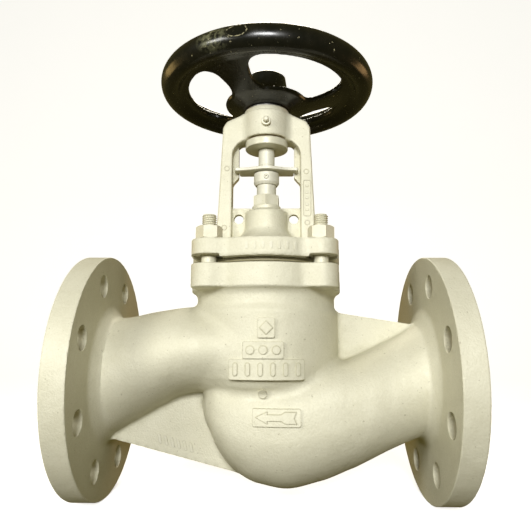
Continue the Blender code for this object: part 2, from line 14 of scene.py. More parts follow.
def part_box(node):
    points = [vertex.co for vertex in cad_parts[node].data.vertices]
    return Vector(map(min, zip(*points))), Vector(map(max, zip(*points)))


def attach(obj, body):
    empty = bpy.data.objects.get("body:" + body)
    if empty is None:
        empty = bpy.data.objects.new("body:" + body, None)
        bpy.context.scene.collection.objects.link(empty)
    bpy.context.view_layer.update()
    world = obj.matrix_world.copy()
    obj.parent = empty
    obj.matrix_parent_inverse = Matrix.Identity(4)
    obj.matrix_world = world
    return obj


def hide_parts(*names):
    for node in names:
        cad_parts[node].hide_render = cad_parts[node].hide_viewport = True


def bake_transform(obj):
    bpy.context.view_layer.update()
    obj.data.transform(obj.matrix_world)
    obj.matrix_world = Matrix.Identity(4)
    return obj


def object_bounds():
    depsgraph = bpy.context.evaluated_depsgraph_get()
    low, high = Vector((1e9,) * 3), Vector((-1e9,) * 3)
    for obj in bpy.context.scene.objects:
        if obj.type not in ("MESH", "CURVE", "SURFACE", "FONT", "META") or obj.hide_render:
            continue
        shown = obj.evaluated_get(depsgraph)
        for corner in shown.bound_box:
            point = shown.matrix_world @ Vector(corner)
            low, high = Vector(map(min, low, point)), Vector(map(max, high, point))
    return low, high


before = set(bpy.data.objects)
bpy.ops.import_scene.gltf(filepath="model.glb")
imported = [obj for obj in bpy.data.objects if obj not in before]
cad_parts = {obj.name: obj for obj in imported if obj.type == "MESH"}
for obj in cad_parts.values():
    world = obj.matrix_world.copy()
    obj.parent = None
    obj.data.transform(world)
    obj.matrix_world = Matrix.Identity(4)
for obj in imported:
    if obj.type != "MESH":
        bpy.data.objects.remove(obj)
CAD_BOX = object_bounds()

MM = 0.001
TAU = 2 * math.pi


def box_mm(node):
    """A CAD node's lowest and highest corners, in millimetres."""
    return [np.array(corner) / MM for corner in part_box(node)]


# --- Sizes, in millimetres ---------------------------------------------------------------------

FACE_X = box_mm("body")[1][0]
FLANGE_R = box_mm("body")[1][1]
FLANGE_THICKNESS = 20.5
FLANGE_BACK_X = FACE_X - FLANGE_THICKNESS
RAISED_FACE_R = 66.0
RAISED_FACE_HEIGHT = 2.0
PIPE_BORE_R = 40.0
BOLT_CIRCLE_R = 80.0
BOLT_HOLE_R = 9.5
FLANGE_BOLTS = 8

BODY_TOP_Z = 90.0
BODY_FLANGE_LOW_Z = 71.0
BONNET_LOW_Z = box_mm("bonnet")[0][2]
BONNET_FLANGE_TOP_Z = 110.0
HEAD_TOP_Z = box_mm("bonnet")[1][2]
HEAD_LOW_Z = 211.5
HEAD_R = 21.7
COVER_DISC_R = 64.5
EAR_R = 14.0
STUD_X = 45.4
STUD_R = 6.0
STUD_PITCH = 1.75
STEM_BORE_R = 9.05
STUFFING_BOX_R = 13.2
HEAD_BORE_R = 16.3
STEM_THREAD_R = 7.35
THREAD_BORE_R = 7.65
ARM_INNER_X = 31.0
ARM_HALF_DEPTH = 9.0
ARCH_RADIUS = 16.0
NECK_R = 62.0
NECK_WAIST_R = 59.6
PAD_HEIGHT = 2.1

RIM_CENTRE_R = 88.0
RIM_CENTRE_Z = 262.0
RIM_HALF_WIDTH = box_mm("handwheel")[1][0] - RIM_CENTRE_R
RIM_HALF_HEIGHT = 11.0
HUB_TOP_Z = 275.0
WINDOW_INNER_R = 38.0
WINDOW_OUTER_R = 72.5
WINDOW_HALF_ANGLE = math.radians(45.5)
WINDOW_CORNER_R = 14.0
WINDOW_AZIMUTHS = [math.radians(angle) for angle in (-58, 62, 182)]
NIPPLE_Z = 222.3
DENT_AZIMUTH = math.radians(102.8)
DENT_R = 97.0
DENT_Z = 264.5
DENT_DEPTH = 0.9


# --- Fields ------------------------------------------------------------------------------------

def union(first, second, fillet=0.0):
    """Two solids together, with a round fillet along the line where they meet."""
    nearest = np.minimum(first, second)
    if np.ndim(fillet) == 0 and fillet == 0:
        return nearest
    reach = np.hypot(np.maximum(fillet - first, 0), np.maximum(fillet - second, 0))
    return np.maximum(fillet, nearest) - reach


def common(first, second, rounding=0.0):
    """What two solids share, with the edge between them rounded."""
    return -union(-first, -second, rounding)


def cut(solid, tool, rounding=0.0):
    return common(solid, -tool, rounding)


def slab(place, low, high):
    return np.maximum(low - place, place - high)


def polygon(px, py, outline):
    """Signed distance to a closed outline of (x, y) points."""
    nearest, sign = np.inf, 1.0
    for (x0, y0), (x1, y1) in zip(outline, outline[1:] + outline[:1]):
        edge_x, edge_y = x1 - x0, y1 - y0
        off_x, off_y = px - x0, py - y0
        along = np.clip((off_x * edge_x + off_y * edge_y) / (edge_x ** 2 + edge_y ** 2), 0, 1)
        gap = (off_x - edge_x * along) ** 2 + (off_y - edge_y * along) ** 2
        nearest = np.minimum(nearest, gap)
        above, below = py >= y0, py < y1
        left = edge_x * off_y > edge_y * off_x
        sign = np.where((above & below & left) | ~(above | below | left), -sign, sign)
    return sign * np.sqrt(nearest)


def rounded(outline, closed=True, steps=4):
    """Replace each (x, y, radius) corner of an outline by an arc. A corner with no radius stays."""
    points = []
    last = len(outline) - 1
    for index, corner in enumerate(outline):
        here = Vector(corner[:2])
        radius = corner[2] if len(corner) > 2 else 0
        if radius == 0 or (not closed and index in (0, last)):
            points.append(tuple(here))
            continue
        to_before = (Vector(outline[index - 1][:2]) - here).normalized()
        to_after = (Vector(outline[(index + 1) % (last + 1)][:2]) - here).normalized()
        half_angle = to_before.angle(to_after) / 2
        centre = here + (to_before + to_after).normalized() * (radius / math.sin(half_angle))
        start = here + to_before * (radius / math.tan(half_angle)) - centre
        end = here + to_after * (radius / math.tan(half_angle)) - centre
        for step in range(steps + 1):
            mix = step / steps
            arm = start.normalized() * (1 - mix) + end.normalized() * mix
            points.append(tuple(centre + arm.normalized() * radius))
    return points


def smooth_curve(place, knots, values):
    """A cubic through the knots that never overshoots them."""
    spans = np.diff(knots)
    slopes = np.diff(values) / spans
    tangents = np.zeros(len(knots))
    same_way = slopes[:-1] * slopes[1:] > 0
    mean = 2 * slopes[:-1] * slopes[1:] / np.where(same_way, slopes[:-1] + slopes[1:], 1)
    tangents[1:-1] = np.where(same_way, mean, 0)
    tangents[0], tangents[-1] = slopes[0], slopes[-1]
    place = np.clip(place, knots[0], knots[-1])
    index = np.clip(np.searchsorted(knots, place) - 1, 0, len(spans) - 1)
    t = (place - knots[index]) / spans[index]
    return (values[index] * (1 + 2 * t) * (1 - t) ** 2
            + tangents[index] * spans[index] * t * (1 - t) ** 2
            + values[index + 1] * t * t * (3 - 2 * t)
            + tangents[index + 1] * spans[index] * t * t * (t - 1))


def loft(x, y, z, stations, fullness=0.0):
    """A tube along X with elliptical sections: (x, centre z, half width, half height).

    Fullness makes the upper halves of the sections squarer.
    """
    knots, centres, widths, heights = np.array(sorted(stations), float).T
    width = smooth_curve(x, knots, widths)
    height = smooth_curve(x, knots, heights)
    across, up = np.abs(y) / width, (z - smooth_curve(x, knots, centres)) / height
    power = 2 + fullness * (up > 0)
    up = np.abs(up)
    size = (across ** power + up ** power) ** (1 / power) + 1e-9
    steepness = np.hypot((across / size) ** (power - 1) / width, (up / size) ** (power - 1) / height)
    return np.maximum((size - 1) / (steepness + 1e-9), slab(x, knots[0], knots[-1]))


# --- Meshing -----------------------------------------------------------------------------------

def ticks(low, high, step, fine_bands=(), fine_step=0.6):
    """Grid positions from low to past high, closer together inside the fine bands."""
    places = [low]
    while places[-1] < high:
        here = places[-1]
        inside = any(start <= here < end for start, end in fine_bands)
        after = here + (fine_step if inside else step)
        starts_ahead = [start for start, _ in fine_bands if here < start < after]
        places.append(min(starts_ahead + [after]))
    return np.array(places)


def crossings(field, values, axes, axis):
    """Where grid edges along one axis pass through the surface, with the surface's slope there."""
    near = [slice(None)] * 3
    far = [slice(None)] * 3
    near[axis], far[axis] = slice(0, -1), slice(1, None)
    near, far = tuple(near), tuple(far)
    changes = (values[near] < 0) != (values[far] < 0)
    corner = np.argwhere(changes)
    length = np.diff(axes[axis])[corner[:, axis]]
    low_value, high_value = values[near][changes].astype(float), values[far][changes].astype(float)
    starts_inside = low_value < 0
    start = np.array([axes[a][corner[:, a]] for a in range(3)], float)
    low, high = np.zeros(len(corner)), np.ones(len(corner))
    for _ in range(4):
        share = low + (high - low) * low_value / (low_value - high_value)
        place = start.copy()
        place[axis] += share * length
        value = field(*place)
        before = (value < 0) == (low_value < 0)
        low, high = np.where(before, share, low), np.where(before, high, share)
        low_value = np.where(before, value, low_value)
        high_value = np.where(before, high_value, value)
    return corner, place, slope(field, place, 0.05), starts_inside


def slope(field, place, reach):
    """The field's direction of steepest rise, by central differences."""
    rise = []
    for axis in range(3):
        ahead, behind = place.copy(), place.copy()
        ahead[axis] += reach
        behind[axis] -= reach
        rise.append(field(*ahead) - field(*behind))
    rise = np.array(rise)
    return rise / (np.linalg.norm(rise, axis=0) + 1e-12)


def contour(field, axes):
    """Mesh a field's surface: one point in each grid cell that it crosses, set on any sharp edge."""
    counts = [len(axis) for axis in axes]
    values = np.empty(counts, np.float32)
    for first in range(0, counts[0], 24):
        part = slice(first, first + 24)
        values[part] = field(axes[0][part, None, None], axes[1][None, :, None],
                             axes[2][None, None, :])
    cells, slopes, places, loops = [], [], [], []
    offset = 0
    for axis in range(3):
        corner, place, direction, starts_inside = crossings(field, values, axes, axis)
        second, third = (axis + 1) % 3, (axis + 2) % 3
        for back_second, back_third in ((0, 0), (1, 0), (1, 1), (0, 1)):
            cell = corner.copy()
            cell[:, second] -= back_second
            cell[:, third] -= back_third
            cells.append(cell)
            slopes.append(direction.T)
            places.append(place.T)
        count = len(corner)
        loop = offset + np.arange(count)[:, None] + count * np.arange(4)[None, :]
        loops.append(np.where(starts_inside[:, None], loop, loop[:, ::-1]))
        offset += 4 * count
    cells, slopes, places = np.concatenate(cells), np.concatenate(slopes), np.concatenate(places)
    flat = (cells[:, 0] * counts[1] + cells[:, 1]) * counts[2] + cells[:, 2]
    _, chosen, owner = np.unique(flat, return_index=True, return_inverse=True)
    total = len(chosen)
    low = np.stack([axes[a][cells[chosen, a]] for a in range(3)], 1)
    size = np.stack([np.diff(axes[a])[cells[chosen, a]] for a in range(3)], 1)
    centre = low + size / 2
    local = places - centre[owner]

    def gather(weights):
        return np.bincount(owner, weights, total)

    tally = gather(np.ones(len(owner)))
    mean = np.stack([gather(local[:, a]) / tally for a in range(3)], 1)
    distance = np.einsum("ij,ij->i", slopes, local - mean[owner])
    matrix = np.empty((total, 3, 3))
    for row in range(3):
        for column in range(3):
            matrix[:, row, column] = gather(slopes[:, row] * slopes[:, column])
    right = np.stack([gather(slopes[:, a] * distance) for a in range(3)], 1)
    matrix += np.eye(3) * (0.04 * tally)[:, None, None]
    shift = np.linalg.solve(matrix, right[:, :, None])[:, :, 0]
    points = centre + np.clip(mean + shift, -size / 2, size / 2)
    return points, owner[np.concatenate(loops)]


def shade_facts(field, points):
    """How hollow and how edgy the surface is at each point, from 0 to 1."""
    place = points.T
    normal = slope(field, place, 0.2)
    hollow = np.zeros(len(points))
    for reach in (2.5, 7.0, 16.0):
        hollow += np.clip(1 - field(*(place + normal * reach)) / reach, 0, 1) / 3
    edge = np.clip(1 + field(*(place - normal * 1.6)) / 1.6, 0, 1)
    return hollow, edge


# --- Pieces ------------------------------------------------------------------------------------

def add_mesh(name, points, faces, material, hollow=None, edge=None, crease=32):
    """A mesh object from points in millimetres, with the two facts that the materials read."""
    mesh = bpy.data.meshes.new(name)
    mesh.from_pydata((np.asarray(points) * MM).tolist(), [], [list(face) for face in faces])
    mesh.validate()
    for label, values in (("hollow", hollow), ("edge", edge)):
        if values is not None:
            attribute = mesh.attributes.new(label, "FLOAT", "POINT")
            attribute.data.foreach_set("value", np.asarray(values, np.float32))
    mesh.shade_smooth()
    mesh.set_sharp_from_angle(angle=math.radians(crease))
    mesh.materials.append(material)
    made = bpy.data.objects.new(name, mesh)
    bpy.context.scene.collection.objects.link(made)
    return made


def stands_for(piece, node, body):
    """The piece takes the place of a CAD node on its body."""
    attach(piece, body)
    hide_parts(node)
    return piece


SIGN_OUTLINE_HOLLOW = 0.75
SIGN_OUTLINE_WIDTH = 0.5


def cast(name, field, low, high, step, material, crease=32, fine_x=(), fine_z=(), plan=None):
    """A piece whose surface is a field's, with hollows and edges measured from the field.

    The outlines of raised signs, whose plan in x and z may be given, count as hollows, so the paint darkens
    them, partly as painted shade.
    """
    step *= 1
    axes = [ticks(low[0], high[0], step, fine_x), ticks(low[1], high[1], step),
            ticks(low[2], high[2], step, fine_z)]
    points, faces = contour(field, axes)
    hollow, edge = shade_facts(field, points)
    if plan is not None:
        # Sign outlines are made hollow, so the paint is darker there, partly as painted shade.
        outline = np.exp(-(plan(points[:, 0], points[:, 2]) / SIGN_OUTLINE_WIDTH) ** 2)
        hollow = np.maximum(hollow, SIGN_OUTLINE_HOLLOW * outline)
    return add_mesh(name, points, faces, material, hollow, edge, crease)


def spin(profile, segments, closed):
    """Points and faces of a (radius, height) profile spun about Z. It runs up its outer side."""
    points, rings, faces = [], [], []
    for radius, height in profile:
        first = len(points)
        if radius < 1e-6:
            points.append((0, 0, height))
            rings.append([first] * segments)
            continue
        for index in range(segments):
            turn = TAU * index / segments
            points.append((radius * math.cos(turn), radius * math.sin(turn), height))
        rings.append(list(range(first, first + segments)))
    if closed:
        rings.append(rings[0])
    for lower, upper in zip(rings, rings[1:]):
        for index in range(segments):
            after = (index + 1) % segments
            corners = (lower[index], lower[after], upper[after], upper[index])
            faces.append(tuple(dict.fromkeys(corners)))
    return np.array(points, float), [face for face in faces if len(face) > 2]


def place_points(points, matrix):
    rotation = np.array(matrix.to_3x3())
    return points @ rotation.T + np.array(matrix.translation)


FACING_FRONT = Matrix.Rotation(math.radians(90), 4, "X")      # a spun piece's +Z becomes -Y


def turned(name, profile, material, segments=72, closed=False, matrix=None):
    """A turned piece. Each (radius, height, rounding) corner of its profile may be rounded."""
    points, faces = spin(rounded(profile, closed), segments, closed)
    if matrix is not None:
        points = place_points(points, matrix)
    return add_mesh(name, points, faces, material)


# --- Materials ---------------------------------------------------------------------------------

class Finish:
    """A Principled material and short calls that add nodes to it."""

    def __init__(self, name, **constants):
        self.material = bpy.data.materials.new(name)
        self.material.use_nodes = True
        self.nodes = self.material.node_tree.nodes
        self.links = self.material.node_tree.links
        self.shader = self.nodes["Principled BSDF"]
        for socket, value in constants.items():
            self.shader.inputs[socket.replace("_", " ")].default_value = value
        self.height = None

    def put(self, socket, value):
        if isinstance(value, bpy.types.NodeSocket):
            self.links.new(value, socket)
        elif isinstance(value, tuple) and len(value) == 3 and socket.type == "RGBA":
            socket.default_value = (*value, 1.0)
        else:
            socket.default_value = value

    def add(self, kind, settings=(), **inputs):
        node = self.nodes.new(kind)
        for name, value in dict(settings).items():
            setattr(node, name, value)
        for name, value in inputs.items():
            self.put(node.inputs[name], value)
        return node

    def millimetres(self):
        """Object coordinates in millimetres. A piece's texture moves with it."""
        place = self.add("ShaderNodeTexCoord").outputs["Object"]
        node = self.add("ShaderNodeVectorMath", {"operation": "SCALE"})
        self.put(node.inputs[0], place)
        node.inputs["Scale"].default_value = 1 / MM
        return node.outputs["Vector"]

    def noise(self, place, size, detail=3.0, roughness=0.5, distortion=0.0):
        """Noise from 0 to 1 whose features are about size millimetres across."""
        return self.add("ShaderNodeTexNoise", Vector=place, Scale=1 / size, Detail=detail,
                        Roughness=roughness, Distortion=distortion).outputs["Fac"]

    def fact(self, label):
        node = self.add("ShaderNodeAttribute", {"attribute_name": label})
        return node.outputs["Fac"]

    def maths(self, operation, first, second=0.0, third=0.0, clamp=False):
        node = self.add("ShaderNodeMath", {"operation": operation, "use_clamp": clamp})
        for socket, value in zip(node.inputs, (first, second, third)):
            self.put(socket, value)
        return node.outputs[0]

    def scaled(self, value, low, high, to_low=0.0, to_high=1.0):
        """The value's range low to high stretched to another range, and held inside it."""
        node = self.add("ShaderNodeMapRange", {"clamp": True}, Value=value)
        for name, number in (("From Min", low), ("From Max", high),
                             ("To Min", to_low), ("To Max", to_high)):
            node.inputs[name].default_value = number
        return node.outputs["Result"]

    def distance(self, place, centre, weights):
        """Distance from a centre, in millimetres, with each axis stretched by a weight."""
        offset = self.add("ShaderNodeVectorMath", {"operation": "SUBTRACT"})
        self.put(offset.inputs[0], place)
        offset.inputs[1].default_value = centre
        stretched = self.add("ShaderNodeVectorMath", {"operation": "MULTIPLY"})
        self.put(stretched.inputs[0], offset.outputs[0])
        stretched.inputs[1].default_value = weights
        length = self.add("ShaderNodeVectorMath", {"operation": "LENGTH"})
        self.put(length.inputs[0], stretched.outputs[0])
        return length.outputs["Value"]

    def mix(self, share, first, second, kind="MIX"):
        node = self.add("ShaderNodeMix", {"data_type": "RGBA", "blend_type": kind})
        self.put(node.inputs["Factor"], share)
        self.put(node.inputs[6], first)
        self.put(node.inputs[7], second)
        return node.outputs[2]

    def bump(self, height, depth, strength=1.0):
        """Add relief of a depth in millimetres on top of what is there."""
        node = self.add("ShaderNodeBump", Height=height, Strength=strength, Distance=depth * MM)
        if self.height is not None:
            self.links.new(self.height, node.inputs["Normal"])
        self.height = node.outputs["Normal"]

    def finish(self, colour, roughness, metallic=None):
        self.put(self.shader.inputs["Base Color"], colour)
        self.put(self.shader.inputs["Roughness"], roughness)
        if metallic is not None:
            self.put(self.shader.inputs["Metallic"], metallic)
        if self.height is not None:
            self.links.new(self.height, self.shader.inputs["Normal"])
        return self.material


def paint_nodes(paint, light, deep, grain_depth, lump_depth, roughness):
    """Satin paint over cast metal: its tone, gloss and relief. The hollows are darker, partly from dirt and
    partly as painted shade.
    """
    place = paint.millimetres()
    cloud = paint.noise(place, 30, 3)
    blotch = paint.noise(place, 7, 4, 0.6)
    grain = paint.noise(place, 1.5, 4, 0.65)
    hollow, edge = paint.fact("hollow"), paint.fact("edge")
    tone = paint.mix(paint.scaled(cloud, 0.35, 0.65, 0.0, 0.12), light, deep)
    # The blotches and the hollows darken the tone toward deep; in the hollows this is painted shade.
    blotch_and_shade = paint.maths("MULTIPLY_ADD", paint.scaled(blotch, 0.35, 0.7), 0.2, hollow)
    blotch_and_shade = paint.scaled(blotch_and_shade, 0.22, 1.0)
    tone = paint.mix(paint.maths("MULTIPLY", blotch_and_shade, 0.5), tone, deep)
    tone = paint.mix(paint.scaled(grain, 0.3, 0.62, 0.16, 0.0), tone, deep)
    # Grainy dark brown in the hollows: partly dust, partly painted shade.
    in_hollows = paint.scaled(paint.maths("MULTIPLY", hollow, grain), 0.3, 0.6, 0.0, 0.4)
    tone = paint.mix(in_hollows, tone, (0.16, 0.125, 0.055))
    speck = paint.scaled(paint.noise(place, 2.1, 2, 0.4), 0.72, 0.76, 0.0, 0.4)
    tone = paint.mix(speck, tone, (0.2, 0.17, 0.09))
    # Convex edges lighter: partly paint worn thin, partly a painted highlight.
    worn_and_lit_edge = paint.maths("MULTIPLY", paint.scaled(edge, 0.35, 0.75), paint.scaled(blotch, 0.4, 0.62))
    tone = paint.mix(paint.maths("MULTIPLY", worn_and_lit_edge, 0.35), tone, (0.78, 0.76, 0.68))
    paint.bump(paint.noise(place, 15, 2), lump_depth)
    paint.bump(paint.noise(place, 3.4, 3, 0.55), lump_depth * 0.35)
    paint.bump(grain, grain_depth)
    gloss = paint.scaled(blotch, 0.3, 0.7, roughness - 0.04, roughness + 0.06)
    return tone, paint.maths("MULTIPLY_ADD", blotch_and_shade, 0.14, gloss)


def painted(name, light, deep, grain_depth, lump_depth, roughness):
    paint = Finish(name)
    tone, gloss = paint_nodes(paint, light, deep, grain_depth, lump_depth, roughness)
    return paint.finish(tone, gloss, PAINT_METALLIC)


def part_painted(name, paint_top_z):
    """Bronze whose lower end, below a height, was sprayed with the paint."""
    metal = Finish(name)
    tone, gloss = paint_nodes(metal, CREAM, OLIVE, 0.04, 0.12, 0.38)
    place = metal.millimetres()
    height = metal.add("ShaderNodeSeparateXYZ", Vector=place).outputs["Z"]
    edge = metal.maths("MULTIPLY_ADD", metal.noise(place, 3), 1.2, height)
    bare = metal.scaled(edge, paint_top_z, paint_top_z + 0.4)
    bronze = metal.mix(metal.scaled(metal.noise(place, 7, 4), 0.35, 0.68), (0.55, 0.36, 0.16),
                       (0.27, 0.165, 0.07))
    return metal.finish(metal.mix(bare, tone, bronze), gloss, metal.scaled(bare, 0, 1, PAINT_METALLIC, 1))


def enamelled(name):
    """Glossy black enamel on cast iron, with orange peel, pale dirt in the hollows, and chips and scuffs by a
    dent whose pale colour is partly a painted highlight.
    """
    enamel = Finish(name, Coat_Weight=0.2, Coat_Roughness=0.18, Specular_IOR_Level=0.4)
    place = enamel.millimetres()
    blotch = enamel.noise(place, 9, 4, 0.6)
    in_hollows = enamel.scaled(enamel.maths("MULTIPLY", enamel.fact("hollow"), blotch), 0.22, 0.55, 0, 0.12)
    tone = enamel.mix(enamel.scaled(blotch, 0.4, 0.7), (0.0045, 0.005, 0.0038), (0.009, 0.0085, 0.0055))
    tone = enamel.mix(in_hollows, tone, (0.045, 0.038, 0.02))
    chips = enamel.noise(place, 3.5, 5, 0.7)
    dent = enamel.distance(place, DENT_CENTRE, (1, 1, 1.6))
    # A pale ring round the dent and a pale scuffed patch beside it: partly chipped enamel, partly a painted
    # highlight.
    rim = enamel.scaled(enamel.maths("ABSOLUTE", enamel.maths("SUBTRACT", dent, 8.2)), 0.3, 1.1, 0.16, 0)
    scuff_and_highlight = enamel.scaled(enamel.distance(place, SCUFF_AND_HIGHLIGHT_CENTRE, (0.75, 1, 1.3)), 7, 14, 1, 0)
    scuff_and_highlight = enamel.maths("MULTIPLY", scuff_and_highlight, enamel.scaled(dent, 7.6, 8.6))
    scuff_and_highlight = enamel.maths("MULTIPLY", scuff_and_highlight, enamel.scaled(enamel.noise(place, 5, 5, 0.6), 0.42, 0.6))
    tone = enamel.mix(enamel.maths("MULTIPLY", scuff_and_highlight, 0.8), tone, (0.15, 0.15, 0.085))
    chips_and_highlight = enamel.maths("MULTIPLY_ADD", enamel.scaled(enamel.fact("edge"), 0.3, 0.7), 0.02, rim)
    chips_and_highlight = enamel.maths("MULTIPLY_ADD", scuff_and_highlight, 0.07, chips_and_highlight)
    chips_and_highlight = enamel.scaled(enamel.maths("ADD", chips_and_highlight, chips), 0.665, 0.685)
    tone = enamel.mix(chips_and_highlight, tone, (0.32, 0.29, 0.17))
    enamel.bump(enamel.noise(place, 17, 2), 0.22)
    enamel.bump(enamel.noise(place, 4, 3, 0.55), 0.05)
    enamel.bump(enamel.maths("SUBTRACT", 1.0, chips_and_highlight), 0.1)
    gloss = enamel.scaled(blotch, 0.3, 0.7, 0.2, 0.3)
    return enamel.finish(tone, enamel.maths("MULTIPLY_ADD", enamel.maths("ADD", chips_and_highlight, in_hollows), 0.3, gloss))


def machined(name, light, dark, roughness, metallic=1.0):
    """Turned metal: fine rings round the stem's axis and a soft mottle."""
    metal = Finish(name)
    place = metal.millimetres()
    parts = metal.add("ShaderNodeSeparateXYZ", Vector=place).outputs
    radius = metal.maths("SQRT", metal.maths("ADD", metal.maths("MULTIPLY", parts[0], parts[0]),
                                             metal.maths("MULTIPLY", parts[1], parts[1])))
    across = metal.add("ShaderNodeCombineXYZ", X=radius, Y=parts[2]).outputs[0]
    rings = metal.noise(across, 0.32, 2, 0.6)
    mottle = metal.noise(place, 7, 4, 0.6)
    tone = metal.mix(metal.scaled(mottle, 0.35, 0.68), light, dark)
    tone = metal.mix(metal.scaled(rings, 0.35, 0.65, 0.0, 0.25), tone, dark)
    metal.bump(rings, 0.02)
    metal.bump(mottle, 0.03)
    gloss = metal.maths("ADD", metal.scaled(rings, 0.3, 0.7, roughness - 0.07, roughness + 0.07),
                        metal.scaled(mottle, 0.3, 0.7, 0.0, 0.12))
    return metal.finish(tone, gloss, metallic)


def pressed_graphite(name):
    """Braided and pressed graphite: dark grey, with a fine criss-cross relief and a dull sheen."""
    graphite = Finish(name)
    place = graphite.millimetres()
    braid = graphite.add("ShaderNodeTexVoronoi", {"feature": "F1"}, Vector=place, Scale=0.9)
    smear = graphite.noise(place, 4, 4, 0.6)
    tone = graphite.mix(graphite.scaled(smear, 0.35, 0.7), (0.022, 0.023, 0.026), (0.075, 0.075, 0.08))
    graphite.bump(braid.outputs["Distance"], 0.12)
    graphite.bump(smear, 0.05)
    return graphite.finish(tone, graphite.scaled(smear, 0.3, 0.7, 0.5, 0.75))


CREAM = (0.70, 0.68, 0.545)
OLIVE = (0.36, 0.335, 0.185)
PAINT_METALLIC = 0.15
DENT_CENTRE = (DENT_R * math.cos(DENT_AZIMUTH), -DENT_R * math.sin(DENT_AZIMUTH), DENT_Z)
# Centre of the scuffed patch on the wheel's rim, whose pale colour is partly a painted highlight.
SCUFF_AND_HIGHLIGHT_CENTRE = (-41, -88.5, 261.5)
CAST_PAINT = painted("cast_paint_look", CREAM, OLIVE, 0.3, 0.5, 0.58)
FASTENER_PAINT = painted("fastener_paint_look", CREAM, OLIVE, 0.07, 0.12, 0.5)
STEM_PAINT = painted("stem_paint_look", (0.72, 0.705, 0.6), OLIVE, 0.05, 0.1, 0.48)
# Overspray on the gaskets and the bellows plate; its dark olive-brown is partly painted shade of the gap
# between the flanges.
OVERSPRAY_AND_SHADE = painted("overspray_and_shade_look", (0.24, 0.215, 0.12), (0.08, 0.066, 0.03), 0.06, 0.15, 0.55)
STEM_NUT = part_painted("stem_nut_look", 210.6)
BLACK_ENAMEL = enamelled("black_enamel_look")
STAINLESS = machined("stainless_look", (0.62, 0.61, 0.58), (0.42, 0.41, 0.39), 0.3)
BRONZE = machined("bronze_look", (0.55, 0.36, 0.16), (0.27, 0.165, 0.07), 0.36)
STEEL = machined("steel_look", (0.46, 0.45, 0.43), (0.24, 0.23, 0.21), 0.34)
GRAPHITE = pressed_graphite("graphite_look")


# --- Body --------------------------------------------------------------------------------------

OUTLET_SHELL = [(-140, 0, 53, 53), (-133, 0, 52, 52), (-127, 1, 48, 48.5), (-115, 5.1, 48, 45.2),
                (-100, 11.1, 49, 42.5), (-85, 16.6, 52, 39.6), (-70, 21.2, 55, 37.1),
                (-55, 22.9, 57, 36.3), (-20, 22.9, 57, 36.3)]
INLET_SHELL = [(140, 0, 53, 53), (133, 0, 51, 51), (127, -3, 47.5, 47), (115, -9, 47.5, 45.5),
               (100, -16, 49, 45), (85, -23.4, 52, 44.8), (70, -30, 54, 45), (45, -37, 57, 47.5),
               (17, -43, 58, 47.4), (-5, -43, 56, 43.5), (-25, -38, 50, 38.3),
               (-38, -31, 42, 30), (-46, -26, 31, 19), (-51, -23.5, 18, 11), (-53.5, -22, 5, 3.5)]
OUTLET_PASSAGE = [(-160, 0, 40, 40), (-133, 0, 40, 40), (-115, 4.4, 40, 36.5), (-100, 9.5, 41, 33),
                  (-85, 15.5, 43, 30.5), (-70, 21.8, 45, 29.3), (-55, 27.5, 45, 26),
                  (-25, 32, 44, 16)]
INLET_PASSAGE = [(160, 0, 40, 40), (133, 0, 40, 40), (115, -9, 39.5, 37.5), (100, -16, 41, 37),
                 (85, -23.4, 44, 36.8), (70, -31, 46, 36), (55, -39, 48, 34.5),
                 (43, -44, 48.6, 33), (12, -48, 49, 34), (-12, -45.5, 47, 31.5),
                 (-30, -39, 38, 25), (-40, -33, 26, 14)]
NECK = rounded([(0, 78), (NECK_WAIST_R, 78), (NECK_WAIST_R, 58.5, 4), (NECK_R, 53, 4), (NECK_R, 10),
                (60.3, 1, 8), (56, -6, 6), (44, -17), (0, -17)])
LOW_WEB = rounded([(-134, -52), (-16, -81.5), (-16, -40), (-45, -16, 12), (-70, -10, 30), (-134, -30)])
HIGH_WEB = rounded([(50, 56), (58, 55), (134, 43.2), (134, 16), (75, 8, 20), (50, 12)])
WEB_HALF_THICKNESS = 3.0
CHAMBER = rounded([(0, 100), (53, 100), (53, 2, 4), (47.1, 2), (47.1, -10), (PIPE_BORE_R, -10),
                   (PIPE_BORE_R, -30), (0, -30)])


def from_stud(x, y):
    """Distance in plan from the nearest of the four studs."""
    return np.hypot(np.abs(x) - STUD_X, np.abs(y) - STUD_X)


def cover(x, y):
    """The disc with four ears that the body flange and the bonnet flange share."""
    ears = from_stud(x, y) - EAR_R
    return union(np.hypot(x, y) - COVER_DISC_R, ears, 9)


def body_outside(x, y, z):
    """The casting's outer skin, without its holes and passages."""
    radius = np.hypot(x, y)
    fullness = np.interp(x, (60, 105), (1.0, 0.0))
    flow = union(loft(x, y, z, OUTLET_SHELL), loft(x, y, z, INLET_SHELL, fullness), 6)
    solid = union(flow, polygon(radius, z, NECK), np.interp(z, (8, 34), (6.5, 4.5)))
    for outline in (LOW_WEB, HIGH_WEB):
        web = common(polygon(x, z, outline), np.abs(y) - WEB_HALF_THICKNESS, 1)
        solid = union(solid, web, 3.5)
    around = np.hypot(y, z)
    plate = common(around - FLANGE_R, slab(np.abs(x), FLANGE_BACK_X, FACE_X - RAISED_FACE_HEIGHT), 1)
    solid = union(solid, plate, 8)
    raised = common(around - RAISED_FACE_R, slab(np.abs(x), FLANGE_BACK_X + 5, FACE_X), 0.6)
    solid = union(solid, raised)
    collar = common(cover(x, y), slab(z, BODY_FLANGE_LOW_Z, BODY_TOP_Z), 1.2)
    solid = union(solid, collar, 7)
    return union(solid, common(from_stud(x, y) - 10.5, slab(z, 70.2, 80), 0.8), 1.2)


